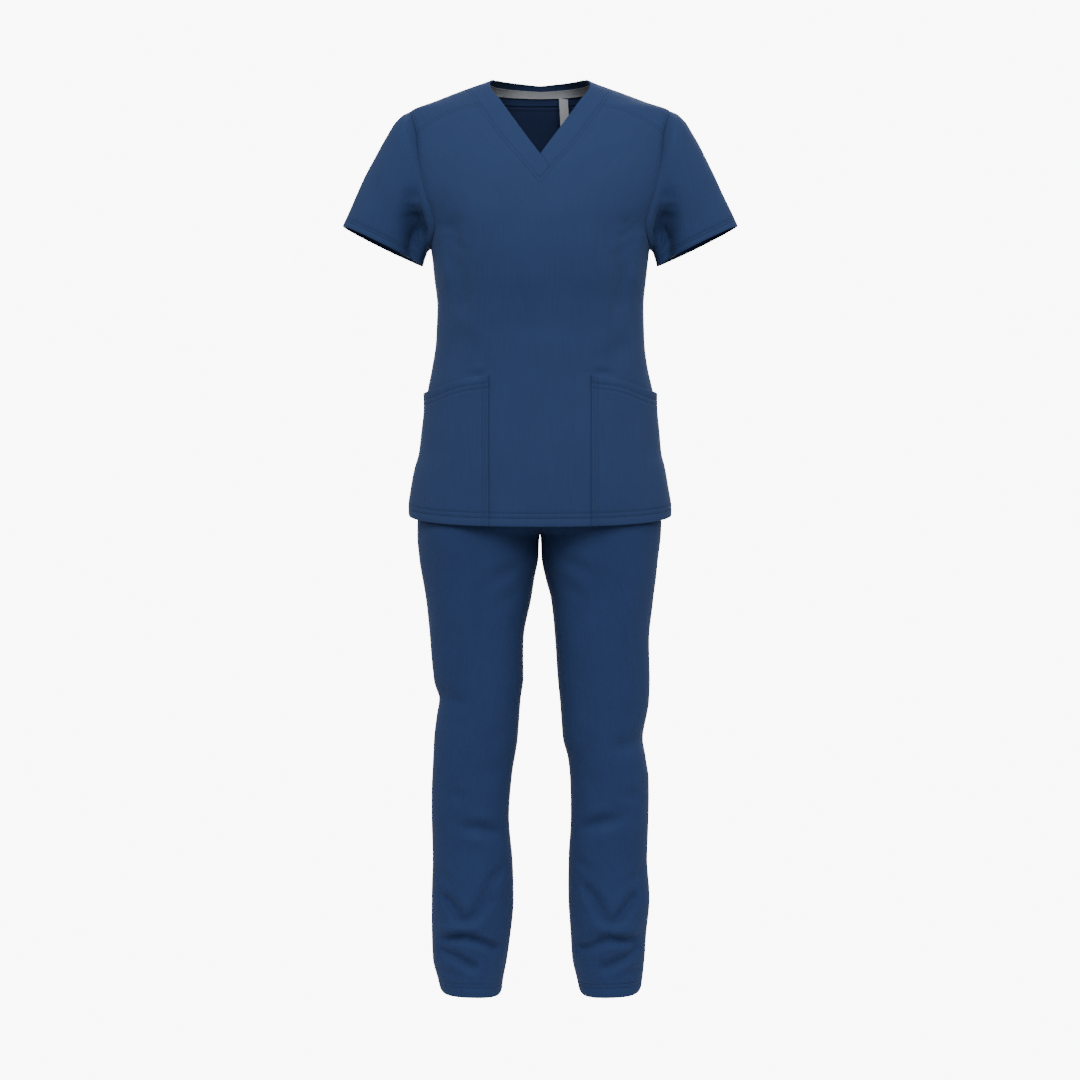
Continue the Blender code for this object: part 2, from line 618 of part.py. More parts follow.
def make_back(finish, form, seams, armhole_normals):
    """The back. It passes over the shoulders, down to the seams on the front."""
    high = joined(seams["neck_back"][::-1], seams["ridge"])
    side = parted(seams["side"], 1)
    chest = hem_line(CHEST_LEVEL, FULL_HALF, ACROSS_THE_SEAM, UNDERARM, len(high) - 1)
    hem = hem_line(HEM_BACK, FULL_HALF, side[0, 0], HEM_SIDE, len(high) - 1)
    body_heights = np.linspace(HEM_BACK, CHEST_LEVEL, SIDE_ROWS + 1)
    upper_heights = np.linspace(CHEST_LEVEL, NECK_BACK[-1][1], BACK_ARMHOLE_ROWS + 1)
    body_centre, upper_centre = (np.stack([np.full(len(heights), FULL_HALF), heights], axis=1)
                                 for heights in (body_heights, upper_heights))
    body = patch(hem, chest, body_centre, side)
    upper = shoulder_patch(chest, high, upper_centre, seams["armhole_back"])
    points, normals = on_form(form, np.concatenate([body, upper[1:]]))
    points[:, 0, 0] = 0
    underarm = SHOULDER_ROWS + ARMHOLE_ROWS
    normals[SIDE_ROWS:-1, -1] = armhole_normals[underarm:]
    normals[-1, -1] = armhole_normals[0]
    over = patch(seams["ridge"], seams["yoke"], seams["neck_shoulder"][::-1], seams["armhole_yoke"])
    over_points, over_normals = on_form(form, over)
    over_normals[:, -1] = armhole_normals[:SHOULDER_ROWS + 1]
    wall("back", finish, [(points, normals), (over_points, over_normals)], mirror=True)


def make_pocket(name, finish, form, side):
    """A patch pocket from the mouth down to the hem and out to the side seam."""
    mouth = seam(POCKET_MOUTH + (side_point(POCKET_MOUTH_SIDE),), FRONT, POCKET_COLUMNS)
    outer = parted(on_side_line(np.linspace(HEM_SIDE, POCKET_MOUTH_SIDE, POCKET_ROWS + 1)), -1)
    hem_start = torso_angle(POCKET_INNER_X, HEM_FRONT, FRONT)
    hem_angle = np.linspace(hem_start, outer[0, 0], POCKET_COLUMNS + 1)
    hem_height = HEM_FRONT + (HEM_SIDE - HEM_FRONT) * (hem_angle / outer[0, 0]) ** 2
    low = np.stack([hem_angle, hem_height], axis=1)
    inner_heights = np.linspace(hem_height[0], POCKET_MOUTH[0][1], POCKET_ROWS + 1)
    inner = np.stack([torso_angle(POCKET_INNER_X, inner_heights, FRONT), inner_heights], axis=1)
    inner[0] = low[0]
    grid = patch(low, mouth, inner, outer)
    down = (mouth[None, :, 1] - grid[..., 1]) / POCKET_GAPE_LENGTH
    toward_side = np.linspace(0, 1, POCKET_COLUMNS + 1)[None]
    gape = POCKET_MOUTH_GAPE * np.clip(1 - down, 0, 1) ** 2 * toward_side ** 2
    wall(name, finish, [on_form(form, grid, POCKET_GAP + CLOTH + gape)], side)


def band_rows(seams):
    """Seam stations and free-edge stations of the neckband, from its lap round to its other end.

    Each row is (side, seam angle, seam height, edge angle, edge height).
    """
    seam_half = joined(seams["neck_lap"], seams["neck_front"], seams["neck_shoulder"])
    run = length_along(torso_point(seam_half[:, 0], seam_half[:, 1]))
    fine = 200
    ridge = (side_point(BAND_RIDGE),)
    front_edge = seam(BAND_EDGE_FRONT + ridge, FRONT, fine)
    back_edge = seam(ridge + BAND_EDGE_BACK, BACK, NECK_BACK_ROWS)

    def edge_at(share):
        return np.stack([np.interp(share * fine, np.arange(fine + 1), front_edge[:, axis]) for axis in (0, 1)],
                        axis=1)

    lapping_edge = edge_at(LAP_TURN + (1 - LAP_TURN) * run / run[-1])
    lapped_edge = edge_at((run[1:] - run[1]) / (run[-1] - run[1]))
    rows = [(1, *seam_half[1], *front_edge[0])]
    rows += [(-1, *at, *edge) for at, edge in zip(seam_half, lapping_edge)]
    rows += [(-1, *at, *edge) for at, edge in zip(seams["neck_back"][1:], back_edge[1:])]
    rows += [(1, *at, *edge) for at, edge in zip(seams["neck_back"][-2::-1], back_edge[-2::-1])]
    rows += [(1, *at, *edge) for at, edge in zip(seam_half[-2:0:-1], lapped_edge[-2::-1])]
    return rows


def band_grid(form, rows, shares, lift):
    """Points across the neckband at shares of its width from the free edge, with their normals."""
    points = []
    normals = []
    for side, seam_angle, seam_height, edge_angle, edge_height in rows:
        angle = edge_angle + (seam_angle - edge_angle) * np.array(shares)
        height = edge_height + (seam_height - edge_height) * np.array(shares)
        normal = normals_of(form, angle, height)
        points.append(flipped(form(angle, height) + normal * lift, side))
        normals.append(flipped(normal, side))
    return np.array(points), np.array(normals)


def make_neckband(finish, form, rows):
    """One strip round the neck. Its ends lap at the V, the wearer's right over the left."""
    wall("neckband", finish, [band_grid(form, rows, (0, TAPE_FROM, TAPE_TO, 1), 0.0)])


def make_tape(finish, form, rows):
    """The tape inside the back neck, from one shoulder to the other."""
    kept = [row for row in rows if row[1] >= ACROSS_THE_SEAM - TAPE_FORWARD]
    wall("neck_tape", finish, [band_grid(form, kept, (TAPE_FROM, TAPE_TO), -CLOTH - LAID_GAP)])


def make_strip(finish, form, rows):
    """The short strip that hangs from the tape's lower edge, inside the back."""
    at_back = [row for row in rows if row[1] > ACROSS_THE_SEAM and row[0] == 1]
    edge = band_grid(form, at_back, (TAPE_TO,), -CLOTH - LAID_GAP)[0][:, 0]
    edge = edge[np.argsort(edge[:, 0])]
    half = np.array([STRIP_WIDTH / 2, 0, 0])
    corner_heights = np.interp((STRIP_X - half[0], STRIP_X + half[0]), edge[:, 0], edge[:, 2])
    depth = np.interp(STRIP_X, edge[:, 0], edge[:, 1]) - 2 * LAID_GAP
    top = np.array([STRIP_X, depth, corner_heights.min() - LAID_GAP])
    share = np.linspace(0, 1, STRIP_ROWS + 1)[:, None]
    line = top + (np.array(STRIP_END) - top) * share
    points = np.stack([line - half, line, line + half], axis=1)
    backward = np.zeros(points.shape)
    backward[..., 1] = 1
    wall("tape_strip", finish, [(points, backward)])


def sleeve_rings(form, seams):
    """The armhole's stations and the sleeve's rings, all with the same number of points."""
    armhole = joined(seams["armhole_yoke"], seams["armhole_front"][::-1], seams["armhole_back"])[:-1]
    front_count = SHOULDER_ROWS + ARMHOLE_ROWS
    turn = np.concatenate([np.linspace(0, math.pi, front_count + 1),
                           np.linspace(math.pi, 2 * math.pi, BACK_ARMHOLE_ROWS + 1)[1:-1]])
    rings = [form(armhole[:, 0], armhole[:, 1])]
    for outer_x, outer_height, inner_x, inner_height, front_depth, back_depth, squareness in SLEEVE:
        out_and_in = rounded(np.cos(turn), squareness)
        ahead = rounded(np.sin(turn), squareness)
        x = (outer_x + inner_x) / 2 + (outer_x - inner_x) / 2 * out_and_in
        height = (outer_height + inner_height) / 2 + (outer_height - inner_height) / 2 * out_and_in
        y = -np.where(ahead > 0, front_depth, back_depth) * ahead
        rings.append(np.stack([x, y, height], axis=-1))
    return np.array(rings), normals_of(form, armhole[:, 0], armhole[:, 1])


def grid_normals(points):
    """Unit normals of a grid that closes round its columns."""
    around = np.roll(points, -1, axis=1) - np.roll(points, 1, axis=1)
    along = np.gradient(points, axis=0)
    return unit(np.cross(around, along))


def sleeve_surface(form, seams):
    """The sleeve's points and normals. The first row's normals are shared with the armhole."""
    points, torso_normals = sleeve_rings(form, seams)
    points[0] += ARMHOLE_EASE * unit(points[1] - points[0])
    folds = [(np.array(row[0:3]), np.array(row[3:6]), row[6], row[7]) for row in SLEEVE_FOLDS]
    depth = fold_depth(points, folds)
    depth[0] = 0
    middle = points.mean(axis=1, keepdims=True)
    outward = np.sign(((points - middle) * grid_normals(points)).sum())
    points = points - outward * grid_normals(points) * depth[..., None]
    normals = outward * grid_normals(points)
    normals[0] = unit(normals[0] + torso_normals)
    return points, normals


def make_sleeve(name, finish, points, normals, side):
    """A short sleeve, from the armhole to its hem, with the fold at the armpit."""
    whole_round = [np.concatenate([grid, grid[:, :1]], axis=1) for grid in (points, normals)]
    wall(name, finish, [whole_round], side)


def leg_panel_grid(sections, face):
    """One leg panel from its hem to the waist seam, between the outer seam and the inner one."""
    hem_centre = LEG_HEM_FRONT if face == FRONT else LEG_HEM_BACK
    share = np.linspace(-1, 1, LEG_COLUMNS + 1)
    rows = [(share * ACROSS_THE_SEAM, hem_centre + (LEG_HEM_SIDE - hem_centre) * share ** 2)]
    for height in LEG_ROW_HEIGHTS + (CROTCH,) + HIP_ROW_HEIGHTS + (WAIST_SEAM,):
        start = leg_angle(sections, 0.0, height, FRONT)
        rows.append((np.linspace(start, ACROSS_THE_SEAM, LEG_COLUMNS + 1), np.full(LEG_COLUMNS + 1, height)))
    grid = np.array(rows).transpose(0, 2, 1)
    if face == BACK:
        grid[..., 0] = FULL_HALF - grid[..., 0]
    return grid


def make_leg_panel(name, finish, sections, folds, face, side):
    """The front or the back of one leg."""
    def angle_of(x, height, on_face):
        return leg_angle(sections, x, height, on_face)

    base = leg_form(sections)
    form = folded(base, placed_folds(base, angle_of, folds))
    wall(name, finish, [on_form(form, leg_panel_grid(sections, face))], side)


def make_waistband(finish):
    """The band round the top of the trousers."""
    quarter = np.linspace(0, ACROSS_THE_SEAM, LEG_COLUMNS + 1)
    turn = joined(*(quarter + step * ACROSS_THE_SEAM for step in range(4)))
    grid = np.stack(np.meshgrid(turn, np.linspace(WAIST_SEAM, WAIST_TOP, 3)), axis=-1)
    points, normals = on_form(leg_form(LEG_LEFT), grid)
    points[:, -1] = points[:, 0]
    wall("waistband", finish, [(points, normals)])


def clear_scene():
    """Start from an empty scene."""
    for item in list(bpy.data.objects):
        bpy.data.objects.remove(item, do_unlink=True)
    collection = bpy.data.collections.new(COLLECTION)
    bpy.context.scene.collection.children.link(collection)


def main():
    clear_scene()
    seams = seam_lines()
    torso = folded(torso_point, placed_folds(torso_point, torso_angle, TORSO_FOLDS))
    rows = band_rows(seams)
    sleeve_points, sleeve_normals = sleeve_surface(torso, seams)
    make_front(material("front_cloth", NAVY_TOP), torso, seams, sleeve_normals[0])
    make_back(material("back_cloth", NAVY_TOP), torso, seams, sleeve_normals[0])
    make_neckband(material("neckband_cloth", NAVY_TOP), torso, rows)
    make_tape(material("tape_twill", GREY_TAPE), torso, rows)
    make_strip(material("strip_twill", GREY_TAPE), torso, rows)
    for word, side, sections, folds in (("right", -1, LEG_RIGHT, LEG_RIGHT_FOLDS),
                                        ("left", 1, LEG_LEFT, LEG_LEFT_FOLDS)):
        make_sleeve("sleeve_" + word, material("sleeve_cloth_" + word, NAVY_TOP),
                    sleeve_points, sleeve_normals, side)
        make_pocket("pocket_" + word, material("pocket_cloth_" + word, NAVY_TOP), torso, side)
        for face, face_word in ((FRONT, "front"), (BACK, "back")):
            name = "leg_" + face_word + "_" + word
            make_leg_panel(name, material(name + "_cloth", NAVY_TROUSERS), sections, folds, face, side)
    make_waistband(material("waistband_cloth", NAVY_TROUSERS))


main()
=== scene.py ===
# %% [markdown]
# # A set of scrubs, filled out with no wearer
# The set is a V-neck top with short sleeves, patch pockets and side vents, and slim
# straight trousers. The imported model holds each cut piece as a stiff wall. This
# lesson cuts the same pieces again from the same sizes, but in small steps, so that
# they can carry seams, stitch rows, turned hems and creases.
# The garment faces -Y, +Z is up, and left and right are the wearer's: left is +X.

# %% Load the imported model
import math

import bpy
import numpy as np
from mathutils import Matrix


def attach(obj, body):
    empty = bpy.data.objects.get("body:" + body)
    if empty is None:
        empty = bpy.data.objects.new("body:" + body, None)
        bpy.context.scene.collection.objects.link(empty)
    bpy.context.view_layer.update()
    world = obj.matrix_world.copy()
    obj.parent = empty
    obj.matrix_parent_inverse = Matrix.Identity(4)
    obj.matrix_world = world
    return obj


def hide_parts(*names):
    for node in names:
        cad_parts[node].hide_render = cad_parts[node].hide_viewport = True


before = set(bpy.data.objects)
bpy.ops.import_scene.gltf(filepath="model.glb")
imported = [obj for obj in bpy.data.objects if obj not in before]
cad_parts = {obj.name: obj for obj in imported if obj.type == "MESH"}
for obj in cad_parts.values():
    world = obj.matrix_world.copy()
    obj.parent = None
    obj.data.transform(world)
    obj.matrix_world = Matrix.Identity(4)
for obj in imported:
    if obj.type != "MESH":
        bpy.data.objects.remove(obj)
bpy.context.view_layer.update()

# %% [markdown]
# ## A short table for each shape
# A body of cloth with no wearer is a stack of rounded sections. A table gives each
# section's size at a few heights, and a smooth curve is read between them. The curve
# never overshoots its points, so a slim place stays slim. A spline through the same
# points would be as smooth but would bulge.

# %% Tables read as smooth curves
class Rows:
    """A short table with named columns, read as smooth curves against its first column."""

    def __init__(self, names, rows):
        self.names = names.split()
        self.data = np.array(sorted(rows), float)

    def value(self, name, where):
        at = self.data[:, 0]
        sizes = self.data[:, self.names.index(name)]
        step = np.diff(at)
        rise = np.diff(sizes) / step
        slopes = np.concatenate([rise[:1], np.zeros(len(rise) - 1), rise[-1:]])
        for row in range(1, len(at) - 1):
            if rise[row - 1] * rise[row] > 0:
                behind = 2 * step[row] + step[row - 1]
                ahead = step[row] + 2 * step[row - 1]
                slopes[row] = (behind + ahead) / (behind / rise[row - 1] + ahead / rise[row])
        where = np.clip(np.asarray(where, float), at[0], at[-1])
        left = np.clip(np.searchsorted(at, where) - 1, 0, len(at) - 2)
        width = step[left]
        t = (where - at[left]) / width
        start = sizes[left] * (1 + 2 * t) * (1 - t) ** 2 + slopes[left] * width * t * (1 - t) ** 2
        end = sizes[left + 1] * t * t * (3 - 2 * t) + slopes[left + 1] * width * t * t * (t - 1)
        return start + end


# %% Sizes of the top
TORSO = Rows("height half_width front_depth back_depth", (
    (0.008, 0.0600, 0.026, 0.060),
    (0.000, 0.0790, 0.030, 0.066),
    (-0.016, 0.1210, 0.041, 0.074),
    (-0.032, 0.1635, 0.052, 0.080),
    (-0.0468, 0.2020, 0.062, 0.085),
    (-0.060, 0.2110, 0.070, 0.090),
    (-0.084, 0.2150, 0.084, 0.098),
    (-0.115, 0.2160, 0.100, 0.106),
    (-0.148, 0.2115, 0.113, 0.111),
    (-0.182, 0.2005, 0.123, 0.113),
    (-0.218, 0.1830, 0.130, 0.113),
    (-0.232, 0.1770, 0.131, 0.113),
    (-0.262, 0.1705, 0.132, 0.112),
    (-0.306, 0.1654, 0.129, 0.108),
    (-0.353, 0.1603, 0.122, 0.104),
    (-0.400, 0.1622, 0.118, 0.106),
    (-0.446, 0.1685, 0.118, 0.113),
    (-0.493, 0.1775, 0.120, 0.122),
    (-0.540, 0.1828, 0.123, 0.131),
    (-0.582, 0.1872, 0.126, 0.137),
    (-0.602, 0.1925, 0.127, 0.138),
    (-0.633, 0.1985, 0.128, 0.139),
    (-0.665, 0.2030, 0.128, 0.138),
    (-0.700, 0.2015, 0.127, 0.137),
))
TORSO_SQUARENESS = 2.3
HEM_FRONT = -0.6947
HEM_SIDE = -0.6760
HEM_BACK = -0.6930
VENT_TOP = -0.5820
UNDERARM = -0.2620
CHEST_LEVEL = -0.2720
SHOULDER_POINT = -0.0468
VENT_PARTING = 0.0060
print("top: half widths at", len(TORSO.data), "heights")

# %% Sizes of the trousers
LEG_COLUMN_NAMES = "height outer inner front_depth back_depth"
# Both legs share the rows over the hips.
HIP_ROWS = (
    (-0.402, 0.1470, -0.1470, 0.094, 0.094),
    (-0.440, 0.1500, -0.1500, 0.096, 0.098),
    (-0.520, 0.1660, -0.1460, 0.104, 0.112),
    (-0.580, 0.1785, -0.1120, 0.107, 0.122),
    (-0.630, 0.1860, -0.0700, 0.108, 0.123),
)
LEG_RIGHT = Rows(LEG_COLUMN_NAMES, HIP_ROWS + (
    (-0.670, 0.1895, -0.0340, 0.107, 0.118),
    (-0.695, 0.1910, -0.0100, 0.105, 0.112),
    (-0.709, 0.1911, 0.0006, 0.103, 0.108),
    (-0.7426, 0.1880, 0.0023, 0.099, 0.104),
    (-0.7738, 0.1833, 0.0086, 0.095, 0.101),
    (-0.805, 0.1786, 0.0133, 0.091, 0.098),
    (-0.8674, 0.1724, 0.0242, 0.085, 0.091),
    (-0.9298, 0.1661, 0.0257, 0.079, 0.084),
    (-0.961, 0.1599, 0.0304, 0.077, 0.081),
    (-1.0234, 0.1661, 0.0351, 0.073, 0.078),
    (-1.0858, 0.1677, 0.0445, 0.069, 0.080),
    (-1.1482, 0.1693, 0.0476, 0.066, 0.081),
    (-1.2106, 0.1677, 0.0429, 0.063, 0.079),
    (-1.273, 0.1693, 0.0413, 0.061, 0.076),
    (-1.3354, 0.1677, 0.0460, 0.060, 0.073),
    (-1.3666, 0.1661, 0.0507, 0.059, 0.071),
    (-1.3978, 0.1583, 0.0569, 0.058, 0.069),
    (-1.425, 0.1530, 0.0600, 0.058, 0.068),
))
LEG_LEFT = Rows(LEG_COLUMN_NAMES, HIP_ROWS + (
    (-0.670, 0.1885, -0.0340, 0.107, 0.118),
    (-0.695, 0.1890, -0.0100, 0.105, 0.112),
    (-0.709, 0.1885, 0.0006, 0.103, 0.108),
    (-0.7426, 0.1849, 0.0023, 0.099, 0.104),
    (-0.7738, 0.1817, 0.0086, 0.095, 0.101),
    (-0.805, 0.1771, 0.0164, 0.091, 0.098),
    (-0.8674, 0.1708, 0.0226, 0.085, 0.091),
    (-0.9298, 0.1724, 0.0273, 0.079, 0.084),
    (-0.961, 0.1708, 0.0304, 0.077, 0.081),
    (-1.0234, 0.1599, 0.0351, 0.073, 0.078),
    (-1.0546, 0.1646, 0.0429, 0.071, 0.079),
    (-1.0858, 0.1693, 0.0460, 0.069, 0.080),
    (-1.1482, 0.1693, 0.0476, 0.066, 0.081),
    (-1.2106, 0.1677, 0.0445, 0.063, 0.079),
    (-1.273, 0.1708, 0.0445, 0.061, 0.076),
    (-1.3354, 0.1646, 0.0476, 0.060, 0.073),
    (-1.3666, 0.1630, 0.0507, 0.059, 0.071),
    (-1.3978, 0.1599, 0.0585, 0.058, 0.069),
    (-1.425, 0.1560, 0.0640, 0.058, 0.068),
))
LEG_SQUARENESS = 2.2
WAIST_TOP = -0.4020
WAIST_SEAM = -0.4400
CROTCH = -0.7090
LEG_HEM_SIDE = -1.4080
LEG_HEM_FRONT = -1.4200
LEG_HEM_BACK = -1.4150
print("trousers: inseam about", round(CROTCH - LEG_HEM_FRONT, 3), "m")

# %% [markdown]
# ## Rounded sections
# Each section is a squared-off ellipse: flatter than a circle at the front and back,
# and rounder at the sides, as cloth hangs. An angle goes round it and a height goes up
# it, so every place on the garment is a pair of numbers. The side seam is at 90 degrees.

# %% The garment's two forms
FRONT, BACK = 1, -1
ACROSS_THE_SEAM = math.radians(90)
FULL_HALF = math.radians(180)
ON_SIDE_LINE = 1 - 1e-9
# A slope is taken over this angle, in radians, and this height, in metres.
NEAR_TURN = 0.004
NEAR_LIFT = 0.0008


def rounded(wave, squareness):
    """A sine or cosine, squared off as on a superellipse."""
    return np.sign(wave) * np.abs(wave) ** (2 / squareness)


def section_point(x_middle, x_half, front, back, squareness, angle, height):
    """A point on a section of that width and depth, at an angle and a height."""
    ahead = rounded(np.cos(angle), squareness)
    x = x_middle + x_half * rounded(np.sin(angle), squareness)
    y = -np.where(ahead > 0, front, back) * ahead
    return np.stack([x, y, np.asarray(height, float)], axis=-1)


def torso_point(angle, height):
    """The top's form. Angle 0 is the front centre, 180 degrees the back centre."""
    half_width, front, back = (TORSO.value(name, height) for name in TORSO.names[1:])
    return section_point(0.0, half_width, front, back, TORSO_SQUARENESS, angle, height)


def leg_form(sections):
    """One leg's form, with the hips above it."""
    def point(angle, height):
        outer, inner, front, back = (sections.value(name, height) for name in sections.names[1:])
        middle, half = (outer + inner) / 2, (outer - inner) / 2
        return section_point(middle, half, front, back, LEG_SQUARENESS, angle, height)
    return point


def unit(vectors):
    """The same directions, with a length of one."""
    return vectors / np.linalg.norm(vectors, axis=-1, keepdims=True)


def normals_of(form, angle, height):
    """Unit normals out of a form, from its slopes both ways."""
    around = form(angle + NEAR_TURN, height) - form(angle - NEAR_TURN, height)
    up = form(angle, height + NEAR_LIFT) - form(angle, height - NEAR_LIFT)
    return unit(np.cross(around, up))


def angle_across(share, face, squareness):
    """The angle at which a section reaches a share of its half width."""
    share = np.where(np.abs(share) > ON_SIDE_LINE, np.sign(share), share)
    turn = np.arcsin(np.sign(share) * np.abs(share) ** (squareness / 2))
    return np.where(face == FRONT, turn, FULL_HALF - turn)


def torso_angle(x, height, face):
    """The angle at which the top reaches a distance to the side."""
    return angle_across(x / TORSO.value("half_width", height), face, TORSO_SQUARENESS)


def leg_angle(sections, x, height, face):
    """The angle at which a leg reaches a distance to the side."""
    outer = sections.value("outer", height)
    inner = sections.value("inner", height)
    return angle_across((2 * x - outer - inner) / (outer - inner), face, LEG_SQUARENESS)


print("chest is", round(2 * float(TORSO.value("half_width", UNDERARM)), 3), "m across at the underarm")

# %% [markdown]
# ## The large folds
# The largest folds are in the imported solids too: the hollow from the armpit, the waist
# at the back, and the breaks where the trouser legs stack above the hem. Each is a line
# on the surface with a width and a depth, and it fades across its width. The sleeve's
# front fold is deeper here than in the solids, because the darkest shade of the whole
# set lies there, beside the body. Its three rows go deeper in turn, so it starts softly.

# %% Main folds
LEG_RIGHT_FOLDS = (
    # face, start_x, start_height, end_x, end_height, width, depth
    (FRONT, 0.1470, -1.3320, 0.1133, -1.3262, 0.0085, 0.0065),
    (FRONT, 0.1133, -1.3262, 0.0660, -1.3447, 0.0085, 0.0065),
    (FRONT, 0.1470, -1.3150, 0.1000, -1.3120, 0.0100, -0.0040),
    (FRONT, 0.1507, -1.3494, 0.1029, -1.3725, 0.0090, 0.0055),
    (FRONT, 0.1456, -1.2692, 0.1214, -1.3016, 0.0080, 0.0035),
    (FRONT, 0.0737, -1.2723, 0.1136, -1.3062, 0.0080, 0.0035),
    (FRONT, 0.0686, -1.1660, 0.1133, -1.1552, 0.0100, 0.0022),
    (FRONT, 0.1600, -0.9610, 0.1250, -0.9660, 0.0130, 0.0030),
    (BACK, 0.1450, -1.3390, 0.0700, -1.3300, 0.0100, 0.0060),
    (BACK, 0.1300, -1.3700, 0.0850, -1.3600, 0.0100, 0.0045),
    (BACK, 0.1450, -1.0200, 0.0700, -1.0300, 0.0140, 0.0050),
    (BACK, 0.1350, -0.9700, 0.0700, -0.9850, 0.0140, 0.0035),
)
LEG_LEFT_FOLDS = (
    (FRONT, 0.1450, -1.3340, 0.1040, -1.3278, 0.0085, 0.0065),
    (FRONT, 0.1040, -1.3278, 0.0620, -1.3447, 0.0085, 0.0065),
    (FRONT, 0.1440, -1.3170, 0.0950, -1.3130, 0.0100, -0.0040),
    (FRONT, 0.1492, -1.3463, 0.1009, -1.3725, 0.0090, 0.0055),
    (FRONT, 0.0723, -1.2561, 0.1040, -1.3093, 0.0080, 0.0038),
    (FRONT, 0.1441, -1.2668, 0.1094, -1.3119, 0.0080, 0.0035),
    (FRONT, 0.0670, -1.1583, 0.1173, -1.1444, 0.0100, 0.0024),
    (FRONT, 0.1580, -1.0230, 0.1250, -1.0320, 0.0130, 0.0032),
    (BACK, 0.1500, -1.3340, 0.0800, -1.3420, 0.0100, 0.0060),
    (BACK, 0.1250, -1.3640, 0.0800, -1.3720, 0.0100, 0.0045),
    (BACK, 0.1400, -1.0300, 0.0720, -1.0180, 0.0140, 0.0048),
    (BACK, 0.1450, -0.9850, 0.0800, -0.9720, 0.0140, 0.0036),
)
TORSO_FOLDS = (
    (FRONT, 0.1320, -0.2350, 0.1230, -0.3500, 0.0150, 0.0040),
    (FRONT, 0.1530, -0.2500, 0.1450, -0.3100, 0.0120, -0.0020),
    (FRONT, 0.1300, -0.4250, 0.1100, -0.4550, 0.0170, 0.0030),
    (BACK, 0.1350, -0.2400, 0.1180, -0.3400, 0.0160, 0.0040),
    (BACK, 0.0900, -0.3900, 0.0100, -0.4050, 0.0180, 0.0035),
)
SLEEVE_FOLDS = (
    # start x, y, height, end x, y, height, width, depth
    (0.1945, -0.0600, -0.1900, 0.1925, -0.0560, -0.2120, 0.0150, 0.0080),
    (0.1935, -0.0555, -0.2080, 0.1905, -0.0520, -0.2280, 0.0160, 0.0180),
    (0.1920, -0.0540, -0.2190, 0.1820, -0.0440, -0.2900, 0.0165, 0.0300),
    (0.1980, 0.0640, -0.1800, 0.1880, 0.0540, -0.2650, 0.0160, 0.0110),
)


def fold_depth(points, folds):
    """How far the folds push each point in: full on a fold's line, fading across its width.

    Where two folds cross, the deeper one counts. Ridges have a depth below zero.
    """
    total = np.zeros(points.shape[:-1])
    for start, end, width, depth in sorted(folds, key=lambda fold: -fold[3]):
        along = end - start
        share = np.clip(((points - start) @ along) / (along @ along), 0, 1)
        away = np.linalg.norm(points - start - share[..., None] * along, axis=-1)
        here = depth * np.exp(-((away / width) ** 2))
        total = np.maximum(total, here) if depth > 0 else total + here
    return total


def placed_folds(form, angle_of, rows):
    """Fold lines as points in space, from their places on a form's front or back."""
    folds = []
    for face, start_x, start_height, end_x, end_height, width, depth in rows:
        start = form(angle_of(start_x, start_height, face), start_height)
        end = form(angle_of(end_x, end_height, face), end_height)
        folds.append((start, end, width, depth))
    return folds


def folded(form, folds):
    """A form with its folds pushed in along its normals."""
    def point(angle, height):
        base = form(angle, height)
        return base - normals_of(form, angle, height) * fold_depth(base, folds)[..., None]
    return point


torso = folded(torso_point, placed_folds(torso_point, torso_angle, TORSO_FOLDS))
print("large folds:", len(TORSO_FOLDS), "on the top,", len(LEG_LEFT_FOLDS), "on each leg")

# %% [markdown]
# ## Seams
# Pieces that are sewn together share the stations of their seam, as notches do on a
# paper pattern. A seam is drawn through a few points and divided into equal lengths.

# %% Seam lines of the top
# Points are a distance to the side and a height. STEPS is how many columns or rows a unit of a panel has.
STEPS = 6
YOKE_AT_NECK = (0.0928, -0.0415)
YOKE_AT_ARMHOLE = (0.1915, -0.0844)
ARMHOLE_FRONT = ((0.1690, -0.2575), (0.1645, -0.2450), (0.1622, -0.2310), (0.1655, -0.2150),
                 (0.1763, -0.1817), (0.1827, -0.1473), (0.1880, -0.1130), YOKE_AT_ARMHOLE)
ARMHOLE_BACK = ((0.1695, -0.2560), (0.1670, -0.2400), (0.1672, -0.2250), (0.1735, -0.1900),
                (0.1815, -0.1500), (0.1880, -0.1100), (0.1940, -0.0750), (0.1985, -0.0570))
ARMHOLE_YOKE = ((0.1990, -0.0570), (0.1950, -0.0700), YOKE_AT_ARMHOLE)
YOKE_SEAM = (YOKE_AT_NECK, (0.1320, -0.0500), (0.1431, -0.0546), (0.1725, -0.0711), YOKE_AT_ARMHOLE)
NECK_TIP = (0.0, -0.1627)
NECK_LAP = (0.0143, -0.1458)
NECK_FRONT = (NECK_LAP, (0.0396, -0.1160), (0.0687, -0.0775), YOKE_AT_NECK)
NECK_SHOULDER = (YOKE_AT_NECK, (0.0985, -0.0312), (0.1040, -0.0235), (0.1095, -0.0170))
NECK_RIDGE = -0.0135
NECK_BACK = ((0.1090, -0.0160), (0.1010, -0.0190), (0.0850, -0.0225), (0.0600, -0.0260),
             (0.0300, -0.0278), (0.0, -0.0280))
BAND_EDGE_FRONT = ((0.0, -0.1248), (0.0200, -0.0965), (0.0400, -0.0675), (0.0615, -0.0360),
                   (0.0765, -0.0130), (0.0780, -0.0060))
BAND_RIDGE = 0.0030
BAND_EDGE_BACK = ((0.0670, 0.0044), (0.0560, 0.0050), (0.0363, 0.0042), (0.0, 0.0015))
LAP_TURN = 0.035
FRONT_COLUMNS = 10 * STEPS
SIDE_ROWS = 16 * STEPS
VENT_ROWS = 4 * STEPS
ARMHOLE_ROWS = 10 * STEPS
BACK_ARMHOLE_ROWS = 11 * STEPS
SHOULDER_ROWS = 3 * STEPS
